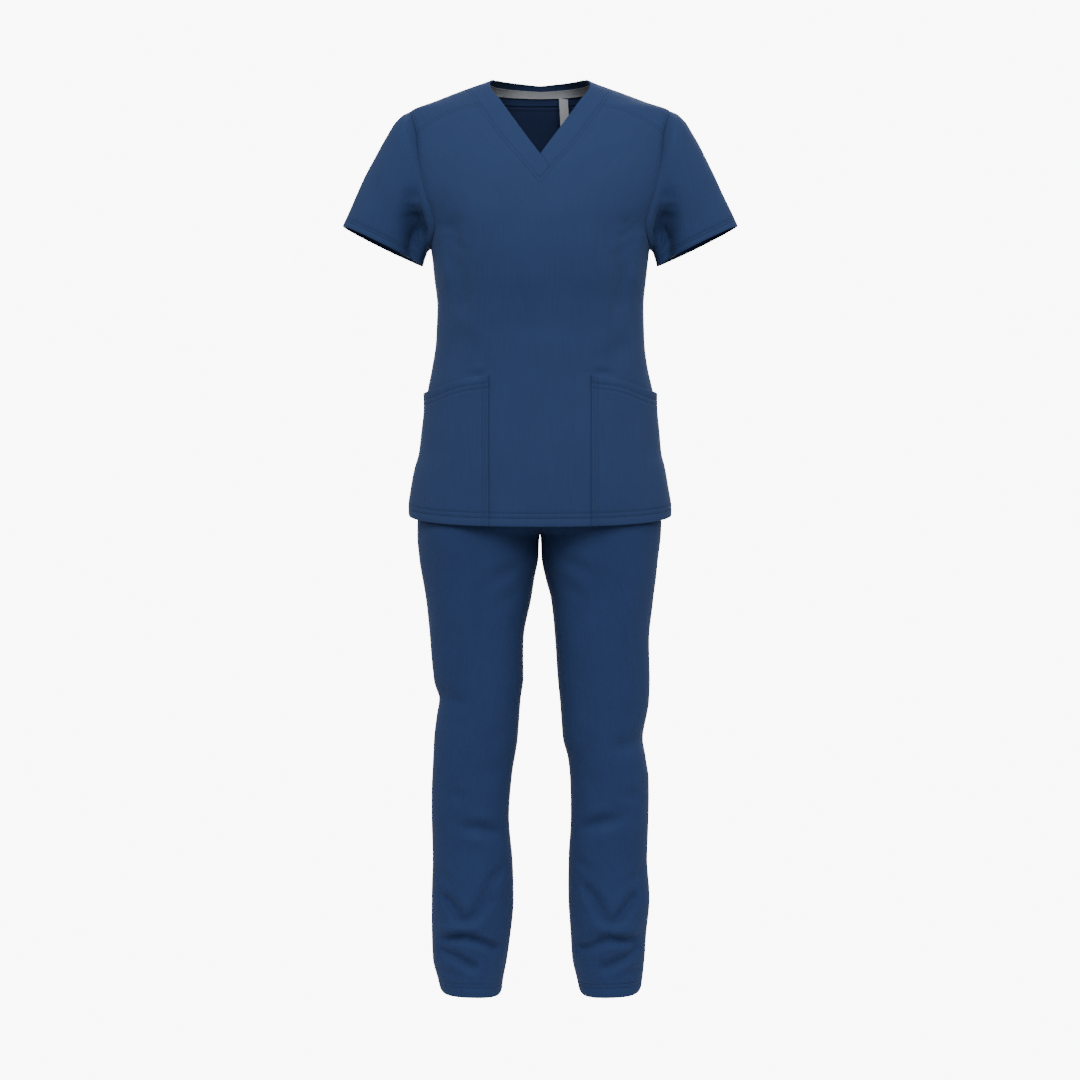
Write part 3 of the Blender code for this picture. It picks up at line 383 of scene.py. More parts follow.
NECK_FRONT_ROWS = 7 * STEPS
NECK_BACK_ROWS = 6 * STEPS
SHOULDER_LIFT = 2.0
SEAM_SAMPLES = 40


def smooth_line(points, count):
    """A smooth line through a few points, as many more points along it."""
    points = np.array(points, float)
    at = length_along(points)
    tangent = np.gradient(points, at, axis=0)
    fine = np.linspace(0, at[-1], count)
    left = np.clip(np.searchsorted(at, fine) - 1, 0, len(at) - 2)
    width = np.diff(at)[left][:, None]
    t = (fine - at[left])[:, None] / width
    return (points[left] * (1 + 2 * t) * (1 - t) ** 2 + tangent[left] * width * t * (1 - t) ** 2
            + points[left + 1] * t * t * (3 - 2 * t) + tangent[left + 1] * width * t * t * (t - 1))


def length_along(points):
    """The length run at each point of a line."""
    return np.concatenate([[0], np.cumsum(np.linalg.norm(np.diff(points, axis=0), axis=1))])


def seam(points, face, count):
    """A seam over the front or the back of the top, as stations an equal length apart."""
    line = smooth_line(points, SEAM_SAMPLES * count + 1)
    line = np.stack([torso_angle(line[:, 0], line[:, 1], face), line[:, 1]], axis=1)
    run = length_along(torso_point(line[:, 0], line[:, 1]))
    even = np.linspace(0, run[-1], count + 1)
    return np.stack([np.interp(even, run, line[:, axis]) for axis in (0, 1)], axis=1)


def side_point(height):
    """The point of the top's side line at a height."""
    return (float(TORSO.value("half_width", height)), height)


def on_side_line(heights):
    """Stations down the form's side line, where its front meets its back."""
    return np.stack([np.full(len(heights), ACROSS_THE_SEAM), heights], axis=1)


def joined(*lines):
    """Several lines of stations end to end, without the shared points."""
    return np.concatenate([lines[0]] + [line[1:] for line in lines[1:]])


def seam_lines():
    """Every seam of the top, as stations on its form."""
    side_heights = joined(np.linspace(HEM_SIDE, VENT_TOP, VENT_ROWS + 1),
                          np.linspace(VENT_TOP, UNDERARM, SIDE_ROWS - VENT_ROWS + 1))
    underarm = (side_point(UNDERARM),)
    shoulder = (side_point(SHOULDER_POINT),)
    ridge = (side_point(NECK_RIDGE),)
    return {
        "side": on_side_line(side_heights),
        "ridge": on_side_line(np.linspace(NECK_RIDGE, SHOULDER_POINT, FRONT_COLUMNS + 1)),
        "armhole_front": seam(underarm + ARMHOLE_FRONT, FRONT, ARMHOLE_ROWS),
        "armhole_back": seam(underarm + ARMHOLE_BACK + shoulder, BACK, BACK_ARMHOLE_ROWS),
        "armhole_yoke": seam(shoulder + ARMHOLE_YOKE, FRONT, SHOULDER_ROWS),
        "yoke": seam(YOKE_SEAM, FRONT, FRONT_COLUMNS),
        "neck_lap": seam((NECK_TIP, NECK_LAP), FRONT, STEPS),
        "neck_front": seam(NECK_FRONT, FRONT, NECK_FRONT_ROWS - STEPS),
        "neck_shoulder": seam(NECK_SHOULDER + ridge, FRONT, SHOULDER_ROWS),
        "neck_back": seam(ridge + NECK_BACK, BACK, NECK_BACK_ROWS),
    }


seams = seam_lines()
print("stations:", {name: len(line) for name, line in seams.items()})

# %% [markdown]
# ## A panel between four seams
# A panel is a grid blended from its four edges, which is how a flat cut piece is
# graded. The back needs its upper part blended by distance to the side instead of by
# angle, because there its columns run over the slope of the shoulder.

# %% Blending a grid between its edges
def patch(low, high, inner, outer):
    """A grid between four edges, blended from all four. Rows run from low to high."""
    u = np.linspace(0, 1, len(low))[None, :, None]
    v = np.linspace(0, 1, len(inner))[:, None, None]
    between_ends = (1 - v) * low[None] + v * high[None]
    between_sides = (1 - u) * inner[:, None] + u * outer[:, None]
    corners = ((1 - v) * ((1 - u) * low[0] + u * low[-1])
               + v * ((1 - u) * high[0] + u * high[-1]))
    return between_ends + between_sides - corners


def shoulder_patch(low, high, inner, outer):
    """A grid from the chest up to the shoulder, blended by distance to the side."""
    level = np.linspace(0, 1, len(inner))
    across = np.linspace(0, 1, len(low))[None]
    v = level[:, None] * (1 + SHOULDER_LIFT * across * (1 - across) * (1 - level[:, None]))
    low_x, high_x, outer_x = (torso_point(line[:, 0], line[:, 1])[:, 0] for line in (low, high, outer))
    u = (1 - v) * low_x / low_x[-1] + v * high_x / high_x[-1]
    between_ends = (1 - v) * low[:, 1] + v * high[:, 1]
    between_sides = (1 - u) * np.interp(v, level, inner[:, 1]) + u * np.interp(v, level, outer[:, 1])
    corners = ((1 - v) * ((1 - u) * low[0, 1] + u * low[-1, 1])
               + v * ((1 - u) * high[0, 1] + u * high[-1, 1]))
    height = between_ends + between_sides - corners
    angle = torso_angle(u * np.interp(v, level, outer_x), height, BACK)
    grid = np.stack([angle, height], axis=-1)
    grid[0] = low
    grid[-1] = high
    grid[:, 0] = inner
    grid[:, -1] = outer
    return grid


def hem_line(centre_height, start_angle, end_angle, side_height, columns):
    """A hem that dips from its side to its centre."""
    share = np.linspace(0, 1, columns + 1)
    angle = start_angle + (end_angle - start_angle) * share
    return np.stack([angle, centre_height + (side_height - centre_height) * share ** 2], axis=1)


def parted(side, direction):
    """The side seam with its vent: below the vent's top the edge draws back from the seam."""
    line = side.copy()
    below = np.clip((VENT_TOP - line[:, 1]) / (VENT_TOP - HEM_SIDE), 0, 1)
    line[:, 0] += direction * below * VENT_PARTING / TORSO.value("front_depth", HEM_SIDE)
    return line


def on_form(form, grid, lift=0.0):
    """Points over a form at a grid's angles and heights, with the form's normals."""
    normals = normals_of(form, grid[..., 0], grid[..., 1])
    return form(grid[..., 0], grid[..., 1]) + normals * np.asarray(lift)[..., None], normals


print("a panel's grid is blended from four seams")

# %% [markdown]
# ## From a grid to sewn cloth
# A sewn edge rolls down into its seam, and a stitch row pulls a narrow groove. A grid
# with even steps is too coarse for either, so each grid is divided again: lines are set
# exactly on the edges and on the stitch rows, at their real distances in millimetres,
# and even steps fill the rest. An edge is a list of its stitch rows, and None is a line
# where the cloth goes on.

# %% Lines for edges and stitch rows
CLOTH_STEP = 0.0034
FINE_STEP = 0.0026
EDGE_MARKS = (0.0, 0.0007, 0.0017)
EDGE_SHARE_AT_MOST = 0.45
GROOVE_HALF = 0.0008
GROOVE_DEPTH = 0.00045
EDGE_ROLL = (0.00040, 0.00010, 0.0)
# How much shade is painted into the colour along a seam's edge and over the cloth's inside, where a stitch
# groove is 1.
PAINTED_SEAM_SHADE = 0.35
PAINTED_INSIDE_SHADE = 1.5
POINT, NORMAL, ROW, COLUMN = slice(0, 3), slice(3, 6), 6, 7


def marks_from(edge):
    """Distances from an edge at which the grid needs a line."""
    if edge is None:
        return [0.0]
    marks = list(EDGE_MARKS)
    for distance, first, last in edge:
        marks += [distance - GROOVE_HALF, distance, distance + GROOVE_HALF]
    return marks


def divided(grid, low, high, step, pinch=None):
    """A grid divided again down its columns, and the stitch rows as (line, first, last).

    pinch gives a factor for each column's distances from the low edge, from that edge's points.
    """
    near, far = marks_from(low), marks_from(high)
    lengths = np.array([length_along(column[:, POINT]) for column in grid.transpose(1, 0, 2)])
    spare = np.median(lengths[:, -1]) - near[-1] - far[-1]
    even = np.linspace(0, 1, max(2, int(round(spare / step))) + 1)[1:-1]
    columns = []
    factors = pinch(grid[0, :, POINT]) if pinch else np.ones(len(lengths))
    for run, column, factor in zip(lengths, grid.transpose(1, 0, 2), factors):
        shrink = min(1.0, EDGE_SHARE_AT_MOST * run[-1] / max(near[-1], far[-1], 1e-9))
        start = np.array(near) * shrink * factor
        end = run[-1] - np.array(far)[::-1] * shrink
        at = np.concatenate([start, start[-1] + even * (end[0] - start[-1]), end])
        columns.append(np.stack([np.interp(at, run, channel) for channel in column.T], axis=1))
    last_line = len(near) + len(even) + len(far) - 1
    rows = [(near.index(row[0]), row[1], row[2]) for row in low or ()]
    rows += [(last_line - far.index(row[0]), row[1], row[2]) for row in high or ()]
    return np.stack(columns, axis=1), rows


def numbered(points, normals, first_row=0.0):
    """A grid's points and normals with its row and column numbers, each running over 1."""
    rows, columns = points.shape[:2]
    shape = (rows, columns, 1)
    row = np.broadcast_to(np.linspace(first_row, first_row + 1, rows)[:, None, None], shape)
    column = np.broadcast_to(np.linspace(0, 1, columns)[None, :, None], shape)
    return np.concatenate([points, normals, row, column], axis=-1)


print("stitch grooves are", GROOVE_DEPTH * 1000, "mm deep and", 2 * GROOVE_HALF * 1000, "mm wide")

# %% [markdown]
# ## Creases
# Worn cloth has soft troughs with a low ridge beside them, uneven and tapering out.
# Each crease is a line in space, as start and end points, a width and a depth. The
# depth swells and fades along the line. A slow unevenness over all the cloth keeps it
# from looking ironed.

# %% Creases and slow unevenness
WAVES = (
    # radians a metre across x, y and z, phase, height in millimetres
    (31, 12, 9, 0.4, 0.42), (-22, 17, 26, 1.9, 0.38), (9, -28, 41, 3.1, 0.30),
    (58, 23, -17, 0.8, 0.20), (-44, 38, 35, 2.6, 0.17), (17, 61, -52, 4.4, 0.14),
    (96, -31, 28, 1.2, 0.07), (-73, 64, 88, 5.3, 0.06),
)
WANDER = 0.8
WANDER_PACE = 0.6
# These two are shares of a crease's length.
CREASE_BOW = 0.05
CREASE_END = 0.05
# This one is a share of its depth, and the last three are in crease widths.
RIDGE_HEIGHT = 0.45
CREASE_REACH = 2.4
RIDGE_AWAY = 1.7
RIDGE_WIDTH = 0.9


def unevenness(points):
    """Slow soft hollows and rises over the cloth, in metres."""
    total = np.zeros(points.shape[:-1])
    for x, y, z, phase, height in WAVES:
        wander = WANDER * np.sin(points @ np.array([z, x, y], float) * WANDER_PACE)
        total += height / 1000 * np.sin(points @ np.array([x, y, z], float) + phase + wander)
    return total


def crease_depth(points, creases):
    """How far each point is pushed in by creases that taper at both ends."""
    total = np.zeros(points.shape[:-1])
    for x1, y1, z1, x2, y2, z2, width, depth in creases:
        start = np.array([x1, y1, z1])
        along = np.array([x2, y2, z2]) - start
        length = np.linalg.norm(along)
        share = np.clip(((points - start) @ along) / length ** 2, 0, 1)
        offset = points - start - share[..., None] * along
        taper = np.sin(np.pi * np.clip(share * (1 - 2 * CREASE_END) + CREASE_END, 0, 1))
        sideways = offset @ unit(np.cross(along, [0.0, 1.0, 0.0]))
        side = sideways - CREASE_BOW * length * np.sin(np.pi * share)
        beyond = np.linalg.norm(offset, axis=-1) ** 2 - sideways ** 2
        fade = np.exp(-np.maximum(beyond, 0) / (CREASE_REACH * width) ** 2)
        trough = np.exp(-((side / width) ** 2))
        ridge = RIDGE_HEIGHT * np.exp(-(((np.abs(side) - RIDGE_AWAY * width) / (RIDGE_WIDTH * width)) ** 2))
        total += depth * taper * fade * (trough - ridge)
    return total


print("unevenness reaches", round(sum(wave[-1] for wave in WAVES), 2), "mm at most")

# %% [markdown]
# ## Finishes
# The set is woven from dyed polyester and viscose with a little stretch, in a fine
# weave. It is matte, with a soft sheen at grazing angles and a faint streak along the
# warp where threads vary. The tape is grey cotton twill, and the sewing thread is dyed
# to match the cloth. Shade is painted into the colour in the stitch grooves, along seams
# and edges, and over the cloth's inside, so the mesh carries a number for that at each
# point, and the finish reads it.

# %% One helper for colours, one for nodes
def linear(hex_colour):
    """An sRGB hex colour as linear light, with an alpha of one."""
    channels = [int(hex_colour[at:at + 2], 16) / 255 for at in (1, 3, 5)]
    return [c / 12.92 if c <= 0.04045 else ((c + 0.055) / 1.055) ** 2.4 for c in channels] + [1.0]


def add_node(tree, kind, settings, inputs):
    """A node with its settings, and its inputs linked to other nodes' outputs or set to values."""
    node = tree.nodes.new(kind)
    for name, value in settings.items():
        setattr(node, name, value)
    for socket, value in inputs.items():
        if isinstance(value, bpy.types.NodeSocket):
            tree.links.new(value, node.inputs[socket])
        else:
            node.inputs[socket].default_value = value
    return node


print("a mid navy in linear light:", np.round(linear("#2b4770")[:3], 4).tolist())

# %% Woven cloth and twill tape
SLUB_WIDTH = 0.0016
SLUB_LENGTH = 0.060
# The real threads are about 0.3 mm apart. They are drawn at 0.9 mm, so that the weave shows.
THREAD_PITCH = 0.0009
# A wave texture has one band in 0.314 of its space at a scale of one.
WAVE_BAND = 0.314
THREAD_WOBBLE = 0.6
# Painted shade: the colour that grooves, seams and the cloth's inside are darkened towards.
PAINTED_GROOVE_SHADE = (0.26, 0.31, 0.43, 1.0)
PAINTED_SHADE_MIX = 0.5
STREAK_TONE, PATCH_TONE, TONE_OFFSET = 0.9, 0.4, -0.15
PATCH_SCALE = 16.0
STREAK_RELIEF = 0.6
RELIEF_DEPTH = 0.0002
FIBRE_IOR = 1.46
FIBRE_SPECULAR = 0.22
SHEEN_ROUGHNESS = 0.5


def woven(name, shade, light, sheen, roughness, weave):
    """Dyed woven cloth: streaks along the warp, a fine weave, and shade painted into grooves, seams and the
    inside.
    """
    made = bpy.data.materials.new(name)
    made.use_nodes = True
    tree = made.node_tree
    shader = tree.nodes["Principled BSDF"]
    cut = add_node(tree, "ShaderNodeAttribute", {"attribute_name": "cut"}, {}).outputs["Vector"]
    painted_shade_amount = add_node(tree, "ShaderNodeAttribute", {"attribute_name": "shade"}, {}).outputs["Fac"]
    stretched = add_node(tree, "ShaderNodeVectorMath", {"operation": "MULTIPLY"},
                         {0: cut, 1: (1 / SLUB_WIDTH, 1 / SLUB_LENGTH, 1)}).outputs["Vector"]
    streak = add_node(tree, "ShaderNodeTexNoise", {}, {"Vector": stretched, "Scale": 1.0, "Detail": 3.0})
    patchy = add_node(tree, "ShaderNodeTexNoise", {}, {"Vector": cut, "Scale": PATCH_SCALE, "Detail": 2.0})
    tone = add_node(tree, "ShaderNodeMath", {"operation": "MULTIPLY_ADD"},
                    {0: streak.outputs["Fac"], 1: STREAK_TONE, 2: TONE_OFFSET}).outputs["Value"]
    tone = add_node(tree, "ShaderNodeMath", {"operation": "MULTIPLY_ADD", "use_clamp": True},
                    {0: patchy.outputs["Fac"], 1: PATCH_TONE, 2: tone}).outputs["Value"]
    dyed = add_node(tree, "ShaderNodeMix", {"data_type": "RGBA"},
                    {0: tone, 6: linear(shade), 7: linear(light)})
    # Shade is painted here: the colour darkens by the mesh's shade number.
    groove = add_node(tree, "ShaderNodeMath", {"operation": "MULTIPLY"}, {0: painted_shade_amount, 1: PAINTED_SHADE_MIX})
    with_painted_shade = add_node(tree, "ShaderNodeMix", {"data_type": "RGBA", "blend_type": "MULTIPLY"},
                        {0: groove.outputs["Value"], 6: dyed.outputs[2], 7: PAINTED_GROOVE_SHADE})
    weft_and_warp = {"Vector": cut, "Scale": WAVE_BAND / THREAD_PITCH, "Distortion": THREAD_WOBBLE}
    threads = [add_node(tree, "ShaderNodeTexWave", {"bands_direction": way}, weft_and_warp).outputs["Fac"]
               for way in ("X", "Y")]
    crossed = add_node(tree, "ShaderNodeMath", {"operation": "MULTIPLY"}, {0: threads[0], 1: threads[1]})
    relief = add_node(tree, "ShaderNodeMath", {"operation": "MULTIPLY_ADD"},
                      {0: streak.outputs["Fac"], 1: STREAK_RELIEF, 2: crossed.outputs["Value"]})
    bump = add_node(tree, "ShaderNodeBump", {}, {"Strength": weave, "Distance": RELIEF_DEPTH,
                                                 "Height": relief.outputs["Value"]})
    tree.links.new(with_painted_shade.outputs[2], shader.inputs["Base Color"])
    tree.links.new(bump.outputs["Normal"], shader.inputs["Normal"])
    constants = {"Roughness": roughness, "IOR": FIBRE_IOR, "Specular IOR Level": FIBRE_SPECULAR,
                 "Sheen Weight": sheen, "Sheen Roughness": SHEEN_ROUGHNESS, "Sheen Tint": linear("#7f9cc8")}
    for socket, value in constants.items():
        shader.inputs[socket].default_value = value
    return made


top_cloth = woven("navy_poly_viscose_top", "#101f3d", "#152748", 0.06, 0.86, 0.25)
trouser_cloth = woven("navy_poly_viscose_trousers", "#0f1e3e", "#132547", 0.05, 0.88, 0.25)
tape_twill = woven("grey_cotton_twill", "#6b6d71", "#787a7e", 0.05, 0.9, 0.4)
thread = woven("navy_polyester_thread", "#11213f", "#15284a", 0.05, 0.6, 0.0)
print("finishes:", [made.name for made in (top_cloth, trouser_cloth, tape_twill, thread)])

# %% [markdown]
# ## Sewing a piece
# A piece is its outer skin, an inner skin one cloth's thickness in, and a rim between
# them. Hems are turned up, so the cloth is thicker there. Grids that share a line are
# welded along it.

# %% From grids to a cloth mesh
CLOTH = 0.0011
TURNED_HEM = 0.0011
# Places that agree to this many digits, in metres, are one.
WELD_DIGITS = 6
SEWN_ALL_ROUND = ((), (), (), ())
stitching = {"top": [], "trousers": []}


def edge_roll(shape, edges):
    """How far the cloth's edges roll down into their seams."""
    roll = np.zeros(shape)
    for place, depth in enumerate(EDGE_ROLL):
        for edge, line in zip(edges, (roll[place], roll[-1 - place], roll[:, place], roll[:, -1 - place])):
            if edge is not None:
                np.maximum(line, depth, out=line)
    return roll


def flat_coordinates(points):
    """Each point's place on the flat cut, in metres, from the lengths along its row and column."""
    across = np.linalg.norm(np.diff(points, axis=1), axis=-1)
    up = np.linalg.norm(np.diff(points, axis=0), axis=-1)
    u = np.concatenate([np.zeros((len(points), 1)), np.cumsum(across, axis=1)], axis=1)
    v = np.concatenate([np.zeros((1, points.shape[1])), np.cumsum(up, axis=0)], axis=0)
    return np.stack([u, v, np.zeros(u.shape)], axis=-1)


def as_cloth(grid, lines, edges, creases, garment, hem=0.0, thickness=CLOTH, settle=1.0, across=0.0):
    """A divided grid made into cloth: creased, grooved along its stitch lines, thicker at its hem.

    settle scales the creases and unevenness, as a number or a function of the points.
    across is how far round the piece the grid starts, for the weave.
    """
    spots, out = grid[..., POINT], unit(grid[..., NORMAL])
    moved = unevenness(spots) - crease_depth(spots, creases)
    laid = spots + out * (moved * (settle(spots) if callable(settle) else settle))[..., None]
    sewn = np.zeros(spots.shape[:2])
    for line, channel, first, last in lines:
        kept = (grid[line][:, channel] >= first) & (grid[line][:, channel] <= last)
        sewn[line] = np.maximum(sewn[line], kept)
        stitching[garment].append((laid[line][kept] - out[line][kept] * GROOVE_DEPTH, out[line][kept]))
    cut = flat_coordinates(spots)
    cut[..., 0] = (cut[..., 0] + across) * (-1 if spots[..., 0].sum() < 0 else 1)
    roll = edge_roll(spots.shape[:2], edges)
    # Shade painted into the colour: full in the stitch grooves, and a little along every seam and turned
    # edge.
    shade = np.maximum(sewn, PAINTED_SEAM_SHADE * (roll >= EDGE_ROLL[0]))
    return {"points": laid, "normals": out, "cut": cut, "shade": shade, "row": grid[..., ROW],
            "thick": thickness + TURNED_HEM * (cut[..., 1] < hem), "groove": GROOVE_DEPTH * sewn,
            "roll": roll + GROOVE_DEPTH * sewn}


def row_lines(rows):
    """Stitch rows that run along a grid's rows."""
    return [(np.s_[line], COLUMN, first, last) for line, first, last in rows]


def column_lines(rows):
    """Stitch rows that run along a grid's columns."""
    return [(np.s_[:, line], ROW, first, last) for line, first, last in rows]


def sewn_grid(grid, edges, creases, garment, step=CLOTH_STEP, pinch=None, **finish):
    """A numbered grid divided both ways and made into cloth.

    edges are the low, high, inner and outer ones.
    """
    low, high, inner, outer = edges
    grid, rows = divided(grid, low, high, step)
    grid, columns = divided(grid.transpose(1, 0, 2), inner, outer, step, pinch)
    lines = row_lines(rows) + column_lines(columns)
    return as_cloth(grid.transpose(1, 0, 2), lines, edges, creases, garment, **finish)


def not_an_edge(cloth, below):
    """Takes the roll off the inner side of a cloth grid, up to a row number."""
    rows = cloth["row"][:, 0] < below
    near = len(EDGE_ROLL)
    cloth["roll"][rows, :near] = cloth["groove"][rows, :near]
    cloth["shade"][rows, :near] = cloth["groove"][rows, :near] / GROOVE_DEPTH


def skin(grids):
    """Several grids as one list of points, welded where they share a line, and their quads."""
    values = {name: np.concatenate([grid[name].reshape(-1, *grid[name].shape[2:]) for grid in grids])
              for name in ("points", "normals", "cut", "shade", "thick", "roll")}
    places = np.round(values["points"], WELD_DIGITS) + 0.0
    _, first, same = np.unique(places, axis=0, return_index=True, return_inverse=True)
    same = same.reshape(-1)
    quads = []
    start = 0
    for grid in grids:
        points = grid["points"]
        at = same[start:start + points[..., 0].size].reshape(points.shape[:2])
        start += at.size
        faces = np.stack([at[:-1, :-1], at[:-1, 1:], at[1:, 1:], at[1:, :-1]], axis=-1).reshape(-1, 4)
        facing = np.cross(points[:-1, 1:] - points[:-1, :-1], points[1:, :-1] - points[:-1, :-1])
        if np.sum(facing * grid["normals"][:-1, :-1]) < 0:
            faces = faces[:, ::-1]
        quads.append(faces)
    return {name: value[first] for name, value in values.items()}, np.concatenate(quads)


def rim_of(quads):
    """The edges that only one quad uses."""
    ends = np.concatenate([quads[:, [corner, (corner + 1) % 4]] for corner in range(4)])
    count = quads.max() + 1
    backward = ends[:, 1] * count + ends[:, 0]
    return ends[~np.isin(backward, ends[:, 0] * count + ends[:, 1]) & (ends[:, 0] != ends[:, 1])]


def cloth_mesh(name, grids, inside_painted_shade):
    """A mesh with an outer skin, an inner skin and a rim, and what its finish reads."""
    values, quads = skin(grids)
    rim = rim_of(quads)
    outer = values["points"] - values["normals"] * values["roll"][:, None]
    inner = outer - values["normals"] * values["thick"][:, None]
    count = len(outer)
    sides = np.stack([rim[:, 1], rim[:, 0], rim[:, 0] + count, rim[:, 1] + count], axis=1)
    mesh = bpy.data.meshes.new(name)
    mesh.from_pydata(np.concatenate([outer, inner]).tolist(), [],
                     np.concatenate([quads, quads[:, ::-1] + count, sides]).tolist())
    # The inner skin gets an even painted shade, for the shade inside the garment.
    inside = {"cut": values["cut"], "shade": np.full(count, inside_painted_shade)}
    for kind, field, word in (("FLOAT_VECTOR", "vector", "cut"), ("FLOAT", "value", "shade")):
        layer = mesh.attributes.new(word, kind, "POINT")
        both = np.concatenate([values[word], inside[word]])
        layer.data.foreach_set(field, both.astype(np.float32).ravel())
    mesh.shade_smooth()
    return mesh


def add_piece(name, mesh, finish, nodes=()):
    """A piece that rides on the one body, in place of its nodes."""
    mesh.materials.append(finish)
    piece = bpy.data.objects.new(name, mesh)
    bpy.context.scene.collection.objects.link(piece)
    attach(piece, "root")
    if nodes:
        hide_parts(*nodes)
    print(name, "has", len(mesh.polygons), "faces")
    return piece


def sew(name, grids, finish, node, inside_painted_shade=PAINTED_INSIDE_SHADE):
    """A cut piece from its grids, in place of its node, kept under its own name."""
    mesh = cloth_mesh("sewn_" + name, grids, inside_painted_shade)
    add_piece("sewn_" + name, mesh, finish, [node])


def other_side(grid):
    """The same numbered grid on the wearer's right."""
    flip = np.ones(8)
    flip[[0, 3]] = -1
    return grid * flip


print("cloth", CLOTH * 1000, "mm thick, with", TURNED_HEM * 1000, "mm more where a hem is turned up")

# %% [markdown]
# ## Creases of the top
# The cloth is drawn in at the armpit and gathers there in short creases. Long soft
# folds fall from the chest, the sides are drawn in at the waist, and the cloth stands
# off again above the pockets. The back has the same kinds. Left and right differ.

# %% Creases of the top
TOP_CREASES = (
    # start x, y, height, end x, y, height, width, depth
    (0.152, -0.085, -0.232, 0.122, -0.112, -0.252, 0.0060, 0.0018),
    (0.150, -0.088, -0.248, 0.112, -0.118, -0.284, 0.0070, 0.0014),
    (0.146, -0.090, -0.262, 0.130, -0.108, -0.330, 0.0090, 0.0017),
    (-0.152, -0.085, -0.230, -0.124, -0.112, -0.250, 0.0060, 0.0017),
    (-0.150, -0.088, -0.244, -0.115, -0.118, -0.278, 0.0070, 0.0016),
    (-0.147, -0.090, -0.258, -0.131, -0.108, -0.336, 0.0095, 0.0018),
    (0.120, -0.112, -0.258, 0.122, -0.104, -0.405, 0.0140, 0.0024),
    (-0.122, -0.112, -0.254, -0.124, -0.104, -0.400, 0.0140, 0.0025),
    (0.0820, -0.118, -0.4590, 0.1240, -0.105, -0.4640, 0.0060, 0.0030),
    (-0.0820, -0.118, -0.4590, -0.1220, -0.105, -0.4630, 0.0060, 0.0030),
    (0.140, -0.080, -0.392, 0.088, -0.112, -0.446, 0.0140, 0.0022),
    (-0.142, -0.080, -0.388, -0.090, -0.112, -0.442, 0.0140, 0.0022),
    (0.040, -0.128, -0.300, 0.052, -0.120, -0.480, 0.0240, 0.0012),
    (-0.036, -0.128, -0.330, -0.046, -0.120, -0.500, 0.0240, 0.0012),
    (0.020, -0.120, -0.520, 0.030, -0.124, -0.680, 0.0220, 0.0012),
    (-0.034, -0.120, -0.500, -0.040, -0.124, -0.670, 0.0220, 0.0013),
    (0.150, -0.060, -0.560, 0.150, -0.066, -0.670, 0.0180, 0.0016),
    (-0.148, -0.060, -0.550, -0.150, -0.066, -0.670, 0.0180, 0.0014),
    (0.050, -0.122, -0.215, 0.090, -0.115, -0.140, 0.0200, 0.0008),
    (-0.060, -0.122, -0.225, -0.094, -0.115, -0.145, 0.0200, 0.0008),
    (0.152, 0.070, -0.235, 0.116, 0.100, -0.262, 0.0070, 0.0020),
    (0.146, 0.078, -0.258, 0.106, 0.102, -0.304, 0.0080, 0.0016),
    (-0.152, 0.070, -0.232, -0.118, 0.100, -0.258, 0.0070, 0.0020),
    (-0.147, 0.078, -0.254, -0.108, 0.102, -0.300, 0.0085, 0.0016),
    (0.128, 0.085, -0.372, 0.022, 0.106, -0.392, 0.0100, 0.0022),
    (-0.130, 0.085, -0.380, -0.014, 0.106, -0.410, 0.0100, 0.0020),
    (0.100, 0.098, -0.418, 0.020, 0.112, -0.436, 0.0110, 0.0014),
    (0.060, 0.124, -0.470, 0.076, 0.134, -0.650, 0.0240, 0.0018),
    (-0.066, 0.124, -0.480, -0.080, 0.134, -0.655, 0.0240, 0.0018),
    (0.010, 0.112, -0.110, 0.014, 0.110, -0.330, 0.0260, 0.0012),
    (0.258, -0.060, -0.160, 0.236, -0.056, -0.255, 0.0130, 0.0012),
    (-0.262, -0.060, -0.155, -0.242, -0.056, -0.250, 0.0130, 0.0012),
    (0.232, 0.066, -0.110, 0.208, 0.062, -0.235, 0.0120, 0.0022),
    (-0.236, 0.066, -0.118, -0.210, 0.062, -0.230, 0.0120, 0.0020),
)
print("creases of the top:", len(TOP_CREASES))

# %% [markdown]
# ## Sleeves
# A set-in sleeve starts at the armhole's own stations and turns into rounded rings down
# to its hem. At the armhole the sleeve and the body share one normal, half way between
# theirs, so that both cloths meet in the seam. It is a tube, so one grid goes round it.
# The first rows ease from the seam's normal into the sleeve's own.

# %% Sleeve surface
SLEEVE = (
    # outer_x, outer_height, inner_x, inner_height, front_depth, back_depth, squareness
    (0.2150, -0.0550, 0.1740, -0.2640, 0.066, 0.069, 3.0),
    (0.2270, -0.0668, 0.1755, -0.2660, 0.066, 0.069, 2.8),
    (0.2468, -0.0997, 0.1770, -0.2710, 0.064, 0.067, 2.5),
    (0.2718, -0.1477, 0.1788, -0.2768, 0.060, 0.062, 2.3),
    (0.2935, -0.1955, 0.1803, -0.2830, 0.056, 0.057, 2.2),
    (0.3073, -0.2262, 0.1817, -0.2886, 0.053, 0.054, 2.1),
)
CAP_ROWS = 6
CAP_LEAD = 1.2
RING_STEPS = 6
# A stitch row is its distance from the edge, and where it starts and ends along it.
SLEEVE_HEM = ((0.0085, 0, 1), (0.0125, 0, 1))
SLEEVE_HEM_TURN = 0.0145


def ring(sizes, turn):
    """One rounded ring of the sleeve."""
    outer_x, outer_height, inner_x, inner_height, front_depth, back_depth, squareness = sizes
    out_and_in = rounded(np.cos(turn), squareness)
    ahead = rounded(np.sin(turn), squareness)
    x = (outer_x + inner_x) / 2 + (outer_x - inner_x) / 2 * out_and_in
    height = (outer_height + inner_height) / 2 + (outer_height - inner_height) / 2 * out_and_in
    y = -np.where(ahead > 0, front_depth, back_depth) * ahead
    return np.stack([x, y, height], axis=-1)


def grid_normals(points):
    """Unit normals of a grid that closes round its columns."""
    around = np.roll(points, -1, axis=1) - np.roll(points, 1, axis=1)
    return unit(np.cross(around, np.gradient(points, axis=0)))


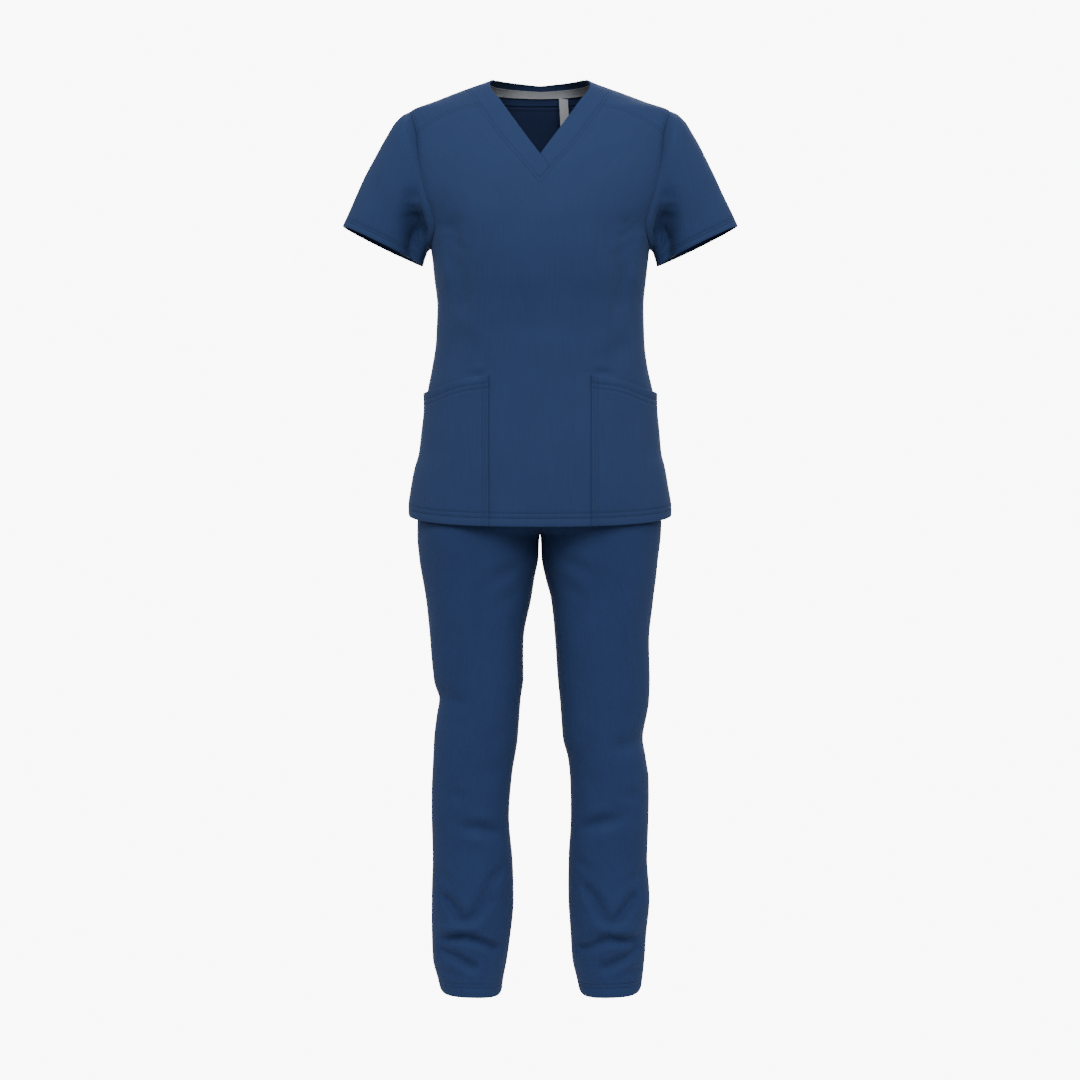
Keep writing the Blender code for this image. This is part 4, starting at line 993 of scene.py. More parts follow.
def sleeve_surface():
    """The sleeve's points and normals, from the armhole to the hem, going once round."""
    armhole = joined(seams["armhole_yoke"], seams["armhole_front"][::-1], seams["armhole_back"])[:-1]
    front_count = SHOULDER_ROWS + ARMHOLE_ROWS
    turn = np.concatenate([np.linspace(0, math.pi, front_count + 1),
                           np.linspace(math.pi, 2 * math.pi, BACK_ARMHOLE_ROWS + 1)[1:-1]])
    start = torso(armhole[:, 0], armhole[:, 1])
    table = np.array(SLEEVE)
    fine = np.linspace(0, len(table) - 1, RING_STEPS * (len(table) - 1) + 1)
    rings = [ring(row, turn) for row in
             np.stack([np.interp(fine, np.arange(len(table)), column) for column in table.T], axis=1)]
    lead = (rings[RING_STEPS // 2] - rings[0]) * CAP_LEAD
    cap = [start * (1 + 2 * t) * (1 - t) ** 2 + (rings[0] - start) * t * (1 - t) ** 2
           + rings[0] * t * t * (3 - 2 * t) + lead * t * t * (t - 1)
           for t in np.linspace(0, 1, CAP_ROWS + 1)[:-1]]
    points = np.array(cap + rings)
    folds = [(np.array(row[0:3]), np.array(row[3:6]), row[6], row[7]) for row in SLEEVE_FOLDS]
    depth = fold_depth(points, folds)
    depth[:CAP_ROWS] *= np.linspace(0, 1, CAP_ROWS)[:, None] ** 2
    normals = grid_normals(points)
    outward = np.sign(((points - points.mean(axis=1, keepdims=True)) * normals).sum())
    points = points - outward * normals * depth[..., None]
    normals = outward * grid_normals(points)
    shared = unit(normals[0] + normals_of(torso, armhole[:, 0], armhole[:, 1]))
    ease = np.linspace(1, 0, CAP_ROWS)[:, None, None]
    normals[:CAP_ROWS] = unit(ease * shared + (1 - ease) * normals[:CAP_ROWS])
    return points, normals


sleeve_points, sleeve_normals = sleeve_surface()
armhole_normals = sleeve_normals[0]
hem_round = length_along(np.append(sleeve_points[-1], sleeve_points[-1, :1], axis=0))[-1]
print("sleeve grid", sleeve_points.shape[:2], "hem round", round(float(hem_round), 3), "m")


# %% Sewing the two sleeves
def make_sleeve(word, mirrored):
    """One sleeve, a tube from its hem up to the armhole, with two stitch rows at the hem."""
    grid = numbered(*(np.concatenate([half, half[:, :1]], axis=1)[::-1]
                      for half in (sleeve_points, sleeve_normals)))
    sewn = sewn_grid(other_side(grid) if mirrored else grid, (SLEEVE_HEM, (), None, None), TOP_CREASES,
                     "top", hem=SLEEVE_HEM_TURN)
    sew("sleeve_" + word, [sewn], top_cloth, "sleeve_" + word)


make_sleeve("left", False)
make_sleeve("right", True)

# %% [markdown]
# ## The front
# The front is one cut piece from hem to shoulder seams. Above the tip of the V its two
# halves part, so each half is a grid of its own, and they are welded down the middle.
# Its stitch rows are the double hem, the row beside the neckband, the one under the
# shoulder seam, the one inside the armhole and the one beside each vent.

# %% Sewing the front
TOP_HEM = ((0.0125, 0, 1), (0.0200, 0, 1))
HEM_TURN = 0.0215
NECK_ROW = 0.0056
YOKE_ROW = 0.0055
ARMHOLE_ROW = 0.0042
VENT_ROW = 0.0095
# Below the V's tip the row beside the neckband is drawn in to a point, this far down.
ROW_POINT_DROP = 0.0092
ROW_POINT_END = 0.006
ROW_SPREAD = 1.25
ROW_SPREAD_FROM = 0.022
ROW_AT_POINT = 0.02


def eased(normals, first, shared):
    """Normals that turn into the armhole's shared ones over their last columns."""
    ease = np.linspace(0, 1, STEPS + 1)[1:]
    for step, share in enumerate(ease):
        column = normals.shape[1] - STEPS + step
        normals[first:, column] = unit(share * shared + (1 - share) * normals[first:, column])


def v_point(inner):
    """Draws the row beside the neckband in to a point, a little below the tip of the V."""
    below = NECK_TIP[1] - inner[:, 2]
    turns = (-ROW_SPREAD_FROM, 0.0, ROW_POINT_DROP, ROW_POINT_DROP + ROW_POINT_END)
    return np.interp(below, turns, (1, ROW_SPREAD, ROW_AT_POINT, 1))


def make_front():
    """The front, as two half grids welded down the middle."""
    low_rows = SIDE_ROWS + ARMHOLE_ROWS - NECK_FRONT_ROWS
    rows = SIDE_ROWS + ARMHOLE_ROWS
    centre_heights = joined(np.linspace(HEM_FRONT, CHEST_LEVEL, SIDE_ROWS + 1),
                            np.linspace(CHEST_LEVEL, NECK_TIP[1], low_rows - SIDE_ROWS + 1))
    centre = np.stack([np.zeros(low_rows + 1), centre_heights], axis=1)
    inner = joined(centre, seams["neck_lap"], seams["neck_front"])
    outer = joined(parted(seams["side"], -1), seams["armhole_front"])
    low = hem_line(HEM_FRONT, 0.0, outer[0, 0], HEM_SIDE, FRONT_COLUMNS)
    points, normals = on_form(torso, patch(low, seams["yoke"], inner, outer))
    points[:low_rows + 1, 0, 0] = 0
    normals[:low_rows + 1, 0, 0] = 0
    eased(normals, SIDE_ROWS, armhole_normals[SHOULDER_ROWS:SHOULDER_ROWS + ARMHOLE_ROWS + 1][::-1])
    tip = low_rows / rows
    outer_rows = ((ARMHOLE_ROW, SIDE_ROWS / rows, 1), (VENT_ROW, 0, VENT_ROWS / rows))
    row_point = np.interp(NECK_TIP[1] - ROW_POINT_DROP, centre_heights, np.arange(low_rows + 1)) / rows
    edges = (TOP_HEM, ((YOKE_ROW, 0, 1),), ((NECK_ROW, row_point, 1),), outer_rows)
    halves = []
    for grid in (numbered(points, normals), other_side(numbered(points, normals))):
        half = sewn_grid(grid, edges, TOP_CREASES, "top", pinch=v_point, hem=HEM_TURN)
        not_an_edge(half, tip)
        halves.append(half)
    sew("front", halves, top_cloth, "front")


make_front()

# %% [markdown]
# ## The back
# The back passes over the shoulders and ends at the forward shoulder seams. Its body
# grid is split at the neck: the middle part ends at the neck seam, and the outer part
# goes on over the shoulder as one tall grid, so that no line shows along the ridge.

# %% Sewing the back
def back_grids():
    """The back's middle grid and its tall outer grid, on the wearer's left."""
    high = joined(seams["neck_back"][::-1], seams["ridge"])
    side_line = parted(seams["side"], 1)
    chest = hem_line(CHEST_LEVEL, FULL_HALF, ACROSS_THE_SEAM, UNDERARM, len(high) - 1)
    hem = hem_line(HEM_BACK, FULL_HALF, side_line[0, 0], HEM_SIDE, len(high) - 1)
    body_heights = np.linspace(HEM_BACK, CHEST_LEVEL, SIDE_ROWS + 1)
    upper_heights = np.linspace(CHEST_LEVEL, NECK_BACK[-1][1], BACK_ARMHOLE_ROWS + 1)
    body_centre, upper_centre = (np.stack([np.full(len(heights), FULL_HALF), heights], axis=1)
                                 for heights in (body_heights, upper_heights))
    body = patch(hem, chest, body_centre, side_line)
    upper = shoulder_patch(chest, high, upper_centre, seams["armhole_back"])
    points, normals = on_form(torso, np.concatenate([body, upper[1:]]))
    points[:, 0, 0] = 0
    normals[:, 0, 0] = 0
    underarm = SHOULDER_ROWS + ARMHOLE_ROWS
    eased(normals, SIDE_ROWS, np.concatenate([armhole_normals[underarm:], armhole_normals[:1]]))
    over = patch(seams["ridge"], seams["yoke"], seams["neck_shoulder"][::-1], seams["armhole_yoke"])
    over_points, over_normals = on_form(torso, over)
    eased(over_normals, 0, armhole_normals[:SHOULDER_ROWS + 1])
    return numbered(points, normals), numbered(over_points, over_normals, 1.0)


def make_back():
    """The back, from a middle grid and a tall outer grid on each side."""
    main, over = back_grids()
    rows = SIDE_ROWS + BACK_ARMHOLE_ROWS
    side_rows = ((ARMHOLE_ROW, SIDE_ROWS / rows, 2), (VENT_ROW, 0, VENT_ROWS / rows))
    main, main_rows = divided(main, TOP_HEM, ((NECK_ROW, 0, 1),), CLOTH_STEP)
    over, _ = divided(over, None, (), CLOTH_STEP)
    tall = np.concatenate([main[:, NECK_BACK_ROWS:], over[1:]])
    middle, _ = divided(main[:, :NECK_BACK_ROWS + 1].transpose(1, 0, 2), None, None, CLOTH_STEP)
    tall, tall_columns = divided(tall.transpose(1, 0, 2), ((NECK_ROW, 1, 2),), side_rows, CLOTH_STEP)
    middle, tall = middle.transpose(1, 0, 2), tall.transpose(1, 0, 2)
    tall_lines = row_lines(main_rows[:2]) + column_lines(tall_columns)
    pieces = []
    for turned in (lambda grid: grid, other_side):
        inner = as_cloth(turned(middle), row_lines(main_rows), ((), (), None, None), TOP_CREASES, "top",
                         hem=HEM_TURN)
        reach = np.abs(inner["cut"][:, -1:, 0])
        reach = np.concatenate([reach, np.repeat(reach[-1:], len(tall) - len(reach), axis=0)])
        outer = as_cloth(turned(tall), tall_lines, SEWN_ALL_ROUND, TOP_CREASES, "top",
                         hem=HEM_TURN, across=reach)
        not_an_edge(outer, 1)
        pieces += [inner, outer]
    sew("back", pieces, top_cloth, "back")


make_back()

# %% [markdown]
# ## The neckband
# The neckband is a doubled strip, folded at its free edge. Its ends lap at the V, the
# wearer's right over the left. One grid goes all the way round, by an angle that keeps
# counting past the back centre. The upper end stands off a little and the lower is
# pressed down, which shows the lap.

# %% Neckband stations
EDGE_SAMPLES = 200


def band_stations():
    """Seam and free edge round the neck, as rows of seam angle and height, edge angle and height."""
    half = joined(seams["neck_lap"], seams["neck_front"], seams["neck_shoulder"])
    run = length_along(torso_point(half[:, 0], half[:, 1]))
    front_edge = seam(BAND_EDGE_FRONT + (side_point(BAND_RIDGE),), FRONT, EDGE_SAMPLES)
    back_edge = seam((side_point(BAND_RIDGE),) + BAND_EDGE_BACK, BACK, NECK_BACK_ROWS)

    def edge_at(share):
        at = np.arange(EDGE_SAMPLES + 1)
        return np.stack([np.interp(share * EDGE_SAMPLES, at, column) for column in front_edge.T], axis=1)

    right = np.array([-1, 1, -1, 1])
    whole_turn = np.array([2 * math.pi, 0, 2 * math.pi, 0])
    lapping = edge_at(LAP_TURN + (1 - LAP_TURN) * run / run[-1])
    lapped = edge_at((run[STEPS:] - run[STEPS]) / (run[-1] - run[STEPS]))
    crossing = edge_at(LAP_TURN * np.arange(STEPS) / STEPS)
    rows = [np.hstack([half[STEPS:0:-1] * (-1, 1), crossing]) * right,
            np.hstack([half, lapping]) * right,
            np.hstack([seams["neck_back"], back_edge])[1:] * right,
            np.hstack([seams["neck_back"], back_edge])[-2::-1] - whole_turn,
            np.hstack([half[STEPS:], lapped])[-2::-1] - whole_turn]
    return np.concatenate(rows)


def band_grid(rows, shares, lift):
    """Points across the neckband at shares of its width from the free edge, with their normals."""
    shares = np.asarray(shares)
    grid = rows[:, None, 2:] + (rows[:, None, :2] - rows[:, None, 2:]) * shares[None, :, None]
    points, normals = on_form(torso_point, grid, np.zeros(grid.shape[:2]) + lift)
    return numbered(points, normals)


stations = band_stations()
print("neckband stations:", len(stations))


# %% Sewing the neckband
BAND_THICK = 0.0019
BAND_COLUMNS = 9
# Painted shade on the inside of the doubled band, a little lighter than on single cloth.
BAND_INSIDE_PAINTED_SHADE = 0.9
LAP_LIFT = 0.0008
LAP_FADE = 0.018
LAP_AT_SEAM = 0.4


def make_neckband():
    """The neckband, with a lap at the V."""
    grid = band_grid(stations, np.linspace(0, 1, BAND_COLUMNS), 0.0)
    run = length_along(grid[:, BAND_COLUMNS // 2, POINT])
    over, under = (LAP_LIFT * np.exp(-((away / LAP_FADE) ** 2)) for away in (run, run[-1] - run))
    lift = (over - under)[:, None] * np.linspace(1, LAP_AT_SEAM, BAND_COLUMNS)
    grid[..., POINT] += grid[..., NORMAL] * lift[..., None]
    sewn = sewn_grid(grid, SEWN_ALL_ROUND, (), "top", step=FINE_STEP, thickness=BAND_THICK)
    sew("neckband", [sewn], top_cloth, "neckband", BAND_INSIDE_PAINTED_SHADE)


make_neckband()

# %% [markdown]
# ## Tape and hanging strip
# A grey twill tape covers the band's seam inside the back of the neck, and a short strip
# of the same tape hangs from it. Both are plain.

# %% Tape and strip
TAPE = 0.0009
TAPE_FINISH = {"thickness": TAPE, "step": 0.003}
# The tape covers these shares of the band's width, and runs this far in front of the shoulders.
TAPE_FROM = 0.27
TAPE_TO = 0.63
TAPE_FORWARD = math.radians(25)
INSIDE = BAND_THICK + 0.0004
STRIP_WIDTH = 0.0142
STRIP_X = 0.0367
STRIP_START = (0.0, -0.0006, -0.0010)
STRIP_END = (0.0405, 0.0690, -0.0850)
STRIP_ACROSS = (1.0, 0.05, -0.12)
STRIP_BOW = 0.0012
STRIP_BOW_TURN = 5.0
STRIP_ROWS = 14
STRIP_SETTLE = 0.3


def make_tape():
    """The tape inside the back neck, from one shoulder to the other."""
    at_back = np.abs(stations[:, 0] + math.pi) <= math.pi - ACROSS_THE_SEAM + TAPE_FORWARD
    grid = band_grid(stations[at_back], np.linspace(TAPE_FROM, TAPE_TO, 5), -INSIDE)
    sewn = sewn_grid(grid, SEWN_ALL_ROUND, (), "top", **TAPE_FINISH)
    sew("tape", [sewn], tape_twill, "neck_tape", 0.0)


def make_strip():
    """The short strip that hangs from the tape's lower edge."""
    edge = band_grid(stations, (TAPE_TO,), -INSIDE)[:, 0]
    behind = edge[(edge[:, 1] > 0) & (edge[:, 0] > 0)]
    nearest = behind[np.argmin(np.abs(behind[:, 0] - STRIP_X))]
    top = nearest[POINT] + np.array(STRIP_START)
    share = np.linspace(0, 1, STRIP_ROWS)[:, None, None]
    side = np.linspace(-STRIP_WIDTH / 2, STRIP_WIDTH / 2, 5)[:, None]
    points = top + (np.array(STRIP_END) - top) * share + side * np.array(STRIP_ACROSS)
    points[..., 1] -= STRIP_BOW * np.sin(share[..., 0] * STRIP_BOW_TURN) * share[..., 0]
    backward = np.broadcast_to(np.array([0.0, 1.0, 0.0]), points.shape)
    sewn = sewn_grid(numbered(points, backward), SEWN_ALL_ROUND, (), "top", settle=STRIP_SETTLE,
                     **TAPE_FINISH)
    sew("strip", [sewn], tape_twill, "tape_strip", 0.0)


make_tape()
make_strip()

# %% [markdown]
# ## Pockets
# Each patch pocket reaches from its slanted mouth down to the hem and out to the side
# seam. It lies on the front, stands off a little at the mouth's outer corner where the
# hand goes in, and follows the front's own creases.

# %% Sewing the pockets
POCKET_INNER_X = 0.0785
POCKET_MOUTH = ((POCKET_INNER_X, -0.4625), (0.1280, -0.4712), (0.1600, -0.4828))
POCKET_MOUTH_SIDE = -0.4870
POCKET_MOUTH_GAPE = 0.0030
POCKET_MOUTH_STAND = 0.0012
POCKET_GAPE_LENGTH = 0.0400
POCKET_COLUMNS = 9 * STEPS
POCKET_ROWS = 10 * STEPS
POCKET_LIFT = 0.0019
POCKET_EDGE = ((0.0048, 0, 1), (0.0095, 0, 1))


def pocket_grid():
    """The wearer's left pocket, from its hem up to its mouth."""
    mouth = seam(POCKET_MOUTH + (side_point(POCKET_MOUTH_SIDE),), FRONT, POCKET_COLUMNS)
    outer = parted(on_side_line(np.linspace(HEM_SIDE, POCKET_MOUTH_SIDE, POCKET_ROWS + 1)), -1)
    hem_start = torso_angle(POCKET_INNER_X, HEM_FRONT, FRONT)
    hem_angle = np.linspace(hem_start, outer[0, 0], POCKET_COLUMNS + 1)
    hem_height = HEM_FRONT + (HEM_SIDE - HEM_FRONT) * (hem_angle / outer[0, 0]) ** 2
    low = np.stack([hem_angle, hem_height], axis=1)
    inner_heights = np.linspace(low[0, 1], POCKET_MOUTH[0][1], POCKET_ROWS + 1)
    inner = np.stack([torso_angle(POCKET_INNER_X, inner_heights, FRONT), inner_heights], axis=1)
    grid = patch(low, mouth, inner, outer)
    down = (mouth[None, :, 1] - grid[..., 1]) / POCKET_GAPE_LENGTH
    toward_side = np.linspace(0, 1, POCKET_COLUMNS + 1)[None]
    gape = np.clip(1 - down, 0, 1) ** 2 * (POCKET_MOUTH_STAND + POCKET_MOUTH_GAPE * toward_side ** 2)
    return numbered(*on_form(torso, grid, POCKET_LIFT + gape))


def make_pocket(word, mirrored):
    """One pocket, with a double row at its mouth, its inner edge and its hem.

    The mouth is turned in as deep as the hem is turned up.
    """
    grid = other_side(pocket_grid()) if mirrored else pocket_grid()
    edges = (TOP_HEM, TOP_HEM, POCKET_EDGE, ((VENT_ROW, 0, 0.5),))
    sewn = sewn_grid(grid, edges, TOP_CREASES, "top", hem=HEM_TURN)
    sew("pocket_" + word, [sewn], top_cloth, "pocket_" + word)


make_pocket("left", False)
make_pocket("right", True)

# %% [markdown]
# ## Trousers
# Each leg is a front and a back panel between the outer seam and the inner one, cut from
# the waist seam down to a hem with two stitch rows. The cloth breaks above the hem, and
# draws a little at the knee, under the seat and at the crotch. Each panel's rows follow
# its table's heights, so the narrow and wide places stay where they are.

# %% Creases of the legs
LEG_LEFT_CREASES = (
    # start x, y, height, end x, y, height, width, depth
    (0.166, -0.040, -0.962, 0.110, -0.074, -0.986, 0.0130, 0.0009),
    (0.164, -0.040, -1.016, 0.118, -0.072, -1.040, 0.0130, 0.0009),
    (0.050, -0.050, -1.010, 0.096, -0.074, -1.048, 0.0130, 0.0009),
    (0.048, -0.050, -1.072, 0.090, -0.070, -1.100, 0.0130, 0.0009),
    (0.164, -0.030, -1.218, 0.130, -0.060, -1.246, 0.0080, 0.0024),
    (0.052, -0.036, -1.206, 0.082, -0.058, -1.232, 0.0080, 0.0020),
    (0.120, -0.064, -1.150, 0.114, -0.062, -1.270, 0.0150, 0.0016),
    (0.090, -0.096, -0.760, 0.104, -0.084, -0.930, 0.0220, 0.0022),
    (0.010, -0.080, -0.735, 0.080, -0.100, -0.770, 0.0110, 0.0022),
    (0.012, -0.080, -0.768, 0.066, -0.096, -0.810, 0.0110, 0.0016),
    (0.156, -0.028, -1.376, 0.130, -0.054, -1.384, 0.0065, 0.0022),
    (0.160, 0.030, -1.290, 0.080, 0.074, -1.312, 0.0085, 0.0028),
    (0.156, 0.030, -1.352, 0.070, 0.070, -1.350, 0.0080, 0.0030),
    (0.050, 0.040, -1.280, 0.110, 0.076, -1.330, 0.0085, 0.0024),
    (0.160, 0.040, -1.060, 0.070, 0.076, -1.050, 0.0110, 0.0026),
    (0.110, 0.090, -0.760, 0.112, 0.080, -0.930, 0.0220, 0.0022),
    (0.016, 0.070, -0.740, 0.090, 0.104, -0.780, 0.0120, 0.0026),
    (0.172, 0.020, -0.830, 0.168, 0.020, -0.930, 0.0150, 0.0016),
)
LEG_RIGHT_CREASES = (
    (-0.166, -0.040, -0.950, -0.120, -0.074, -0.968, 0.0130, 0.0009),
    (-0.160, -0.040, -0.984, -0.112, -0.074, -1.006, 0.0130, 0.0009),
    (-0.048, -0.050, -0.998, -0.092, -0.076, -1.030, 0.0130, 0.0009),
    (-0.050, -0.050, -1.056, -0.098, -0.072, -1.082, 0.0130, 0.0009),
    (-0.164, -0.030, -1.224, -0.134, -0.060, -1.250, 0.0080, 0.0022),
    (-0.050, -0.036, -1.214, -0.080, -0.058, -1.242, 0.0080, 0.0022),
    (-0.116, -0.064, -1.150, -0.110, -0.062, -1.262, 0.0150, 0.0016),
    (-0.094, -0.096, -0.770, -0.106, -0.084, -0.940, 0.0220, 0.0022),
    (-0.010, -0.080, -0.738, -0.076, -0.100, -0.776, 0.0110, 0.0022),
    (-0.012, -0.080, -0.772, -0.070, -0.096, -0.818, 0.0110, 0.0016),
    (-0.158, -0.028, -1.378, -0.128, -0.054, -1.388, 0.0065, 0.0022),
    (-0.158, 0.030, -1.286, -0.076, 0.074, -1.304, 0.0085, 0.0028),
    (-0.152, 0.030, -1.356, -0.072, 0.070, -1.346, 0.0080, 0.0030),
    (-0.048, 0.040, -1.276, -0.104, 0.076, -1.322, 0.0085, 0.0024),
    (-0.158, 0.040, -1.046, -0.074, 0.076, -1.058, 0.0110, 0.0026),
    (-0.112, 0.090, -0.770, -0.108, 0.080, -0.940, 0.0220, 0.0022),
    (-0.016, 0.070, -0.744, -0.084, 0.104, -0.786, 0.0120, 0.0026),
    (-0.172, 0.020, -0.840, -0.166, 0.020, -0.940, 0.0150, 0.0016),
)
# Sharper creases where the cloth breaks at the shin and above the hem, near the large folds' lines.
LEG_LEFT_BREAKS = (
    # face, start x and height, end x and height, width, depth
    (FRONT, 0.1420, -1.3320, 0.1030, -1.3290, 0.0068, 0.0042),
    (FRONT, 0.1080, -1.3290, 0.0600, -1.3480, 0.0068, 0.0044),
    (FRONT, 0.1492, -1.3480, 0.1000, -1.3750, 0.0068, 0.0036),
    (FRONT, 0.0640, -1.2400, 0.1060, -1.3120, 0.0095, 0.0036),
    (FRONT, 0.1520, -1.2480, 0.1080, -1.3140, 0.0095, 0.0034),
    (FRONT, 0.0660, -1.1610, 0.1180, -1.1450, 0.0110, 0.0046),
    (FRONT, 0.1260, -1.1030, 0.1520, -1.1140, 0.0090, 0.0016),
)
LEG_RIGHT_BREAKS = (
    (FRONT, 0.1450, -1.3290, 0.1110, -1.3275, 0.0068, 0.0042),
    (FRONT, 0.1160, -1.3275, 0.0650, -1.3480, 0.0068, 0.0044),
    (FRONT, 0.1510, -1.3500, 0.1020, -1.3750, 0.0068, 0.0036),
    (FRONT, 0.1530, -1.2560, 0.1180, -1.3100, 0.0095, 0.0034),
    (FRONT, 0.0660, -1.2200, 0.1170, -1.3110, 0.0095, 0.0038),
    (FRONT, 0.1170, -1.1550, 0.0640, -1.1700, 0.0110, 0.0042),
    (FRONT, 0.1420, -1.1050, 0.1150, -1.1140, 0.0090, 0.0016),
)
print("creases of the legs:", len(LEG_LEFT_CREASES), "and", len(LEG_RIGHT_CREASES))

# %% Sewing the legs
LEG_HEM = ((0.0150, 0, 1), (0.0210, 0, 1))
LEG_HEM_TURN = 0.0225
LEG_COLUMNS = 48
HEM_EASED = -1.3960
HEM_ROWS = 8
LEG_ROWS = 190
SEAT_ROWS = 90
LEG_HEM_TILT = 0.0028
CALM_NEAR_MIDDLE = 0.018
# Near the shin the inner seam turns forward by up to this angle, at this height.
INNER_SEAM_TURN = math.radians(32)
INNER_SEAM_LEVEL = -1.2560
INNER_SEAM_REACH = 0.030


def leg_panel_grid(sections, face):
    """One leg panel from its hem to the waist seam, between the outer seam and the inner one."""
    share = np.linspace(-1, 1, LEG_COLUMNS + 1)
    hem_centre = LEG_HEM_FRONT if face == FRONT else LEG_HEM_BACK
    hem = hem_centre + (LEG_HEM_SIDE - hem_centre) * share ** 4 + LEG_HEM_TILT * share
    rows = [(share * ACROSS_THE_SEAM, hem + (HEM_EASED - hem) * lift)
            for lift in np.linspace(0, 1, HEM_ROWS)]
    above = joined(np.linspace(HEM_EASED, CROTCH, LEG_ROWS), np.linspace(CROTCH, WAIST_SEAM, SEAT_ROWS))
    for height in above[1:]:
        twist = face * INNER_SEAM_TURN * math.exp(-(((height - INNER_SEAM_LEVEL) / INNER_SEAM_REACH) ** 2))
        start = leg_angle(sections, 0.0, height, FRONT) + twist
        turn = np.linspace(start, ACROSS_THE_SEAM, LEG_COLUMNS + 1)
        rows.append((turn, np.full(LEG_COLUMNS + 1, height)))
    grid = np.array(rows).transpose(0, 2, 1)
    if face == BACK:
        grid[..., 0] = FULL_HALF - grid[..., 0]
    return grid


def calm_middle(points):
    """Creases fade where the two legs come close, so that they never touch."""
    return np.clip(np.abs(points[..., 0]) / CALM_NEAR_MIDDLE, 0, 1)


def make_leg_panel(face, side, word, sections, folds, creases, breaks):
    """The front or the back of one leg."""
    def angle_of(x, height, at):
        return leg_angle(sections, x, height, at)

    base = leg_form(sections)
    form = folded(base, placed_folds(base, angle_of, folds))
    flip = np.array([side, 1, 1])
    creases = creases + tuple((*start * flip, *end * flip, width, depth)
                              for start, end, width, depth in placed_folds(form, angle_of, breaks))
    grid = numbered(*on_form(form, leg_panel_grid(sections, face)))
    sewn = sewn_grid(grid if side > 0 else other_side(grid), (LEG_HEM, (), (), ()), creases, "trousers",
                     hem=LEG_HEM_TURN, settle=calm_middle)
    sewn["roll"] *= calm_middle(sewn["points"])
    name = "leg_" + ("front_" if face == FRONT else "back_") + word
    sew(name, [sewn], trouser_cloth, name)


LEGS = (
    # side, word, sections, large folds, creases, breaks
    (1, "left", LEG_LEFT, LEG_LEFT_FOLDS, LEG_LEFT_CREASES, LEG_LEFT_BREAKS),
    (-1, "right", LEG_RIGHT, LEG_RIGHT_FOLDS, LEG_RIGHT_CREASES, LEG_RIGHT_BREAKS),
)
for face in (FRONT, BACK):
    for leg in LEGS:
        make_leg_panel(face, *leg)

# %% [markdown]
# ## Waistband
# The top hides the waistband. It is a plain band over elastic, so its cloth is gathered
# into small upright pleats that are deepest half way up.

# %% Gathered waistband
GATHERS = 74
GATHER_DEPTH = 0.0009
GATHER_SINK = 0.0004
# How unevenly the gathers are spaced: a strength and how many times round.
GATHER_DRIFTS = ((1.6, 5), (0.9, 11))
WAIST_COLUMNS = 720
WAIST_ROWS = 12


def make_waistband():
    """The band round the top of the trousers."""
    turn = np.linspace(0, 2 * math.pi, WAIST_COLUMNS + 1)
    heights = np.linspace(WAIST_SEAM, WAIST_TOP, WAIST_ROWS + 1)
    grid = np.stack(np.meshgrid(turn, heights), axis=-1)
    upright = np.sin(np.linspace(0, math.pi, len(heights)))[:, None]
    drift = sum(strength * np.sin(times * turn) for strength, times in GATHER_DRIFTS)
    pleats = np.sin(GATHERS * turn + drift)[None]
    lift = GATHER_DEPTH * upright * pleats - GATHER_SINK * upright
    points, normals = on_form(leg_form(LEG_LEFT), grid, lift)
    points[:, -1] = points[:, 0]
    normals[:, -1] = normals[:, 0]
    sewn = sewn_grid(numbered(points, normals), ((), (), None, None), (), "trousers", step=FINE_STEP,
                     settle=calm_middle)
    sew("waistband", [sewn], trouser_cloth, "waistband")


make_waistband()

# %% [markdown]
# ## Stitches
# Each stitch is a short thread that dips into the cloth at both ends. All the stitches
# of a garment are one mesh, built at once from the stitch rows kept above.

# %% Threads
STITCH_PITCH = 0.0031
STITCH_LENGTH = 0.0025
THREAD_HALF = 0.00026
RING_AT = (-0.5, 0.0, 0.5)
RING_SIZE = (0.45, 1.0, 0.45)
RING_LIFT = (-0.00012, 0.00022, -0.00012)


def stitch_places(line):
    """Middle, direction along the row and direction out of the cloth, for each stitch of a row."""
    points, normals = line
    run = length_along(points)
    at = np.arange(STITCH_PITCH / 2, run[-1] - STITCH_LENGTH / 2, STITCH_PITCH)
    middle = np.stack([np.interp(at, run, column) for column in points.T], axis=1)
    ahead = np.stack([np.interp(at + STITCH_LENGTH / 2, run, column) for column in points.T], axis=1)
    out = unit(np.stack([np.interp(at, run, column) for column in normals.T], axis=1))
    return middle, unit(ahead - middle), out


def make_stitches(name, lines):
    """A mesh of every stitch in a garment's rows."""
    places = [stitch_places(line) for line in lines if len(line[0]) > 1]
    middle, along, out = (np.concatenate(part) for part in zip(*places))
    across = unit(np.cross(along, out))
    corners = []
    for at, size, lift in zip(RING_AT, RING_SIZE, RING_LIFT):
        centre = middle + along * (at * STITCH_LENGTH) + out * lift
        for side, up in ((-1, 0), (0, 1), (1, 0), (0, -1)):
            corners.append(centre + (across * side + out * up) * THREAD_HALF * size)
    points = np.stack(corners, axis=1).reshape(-1, 3)
    ring_quads = [[4 * ring_at + side, 4 * ring_at + (side + 1) % 4, 4 * ring_at + 4 + (side + 1) % 4,
                   4 * ring_at + 4 + side] for ring_at in (0, 1) for side in range(4)]
    quads = np.array(ring_quads + [[3, 2, 1, 0], [8, 9, 10, 11]])
    faces = (quads[None] + 12 * np.arange(len(middle))[:, None, None]).reshape(-1, 4)
    mesh = bpy.data.meshes.new(name)
    mesh.from_pydata(points.tolist(), [], faces.tolist())
    mesh.shade_smooth()
    print(len(middle), "stitches")
    add_piece(name, mesh, thread)


make_stitches("stitches_top", stitching["top"])
make_stitches("stitches_trousers", stitching["trousers"])
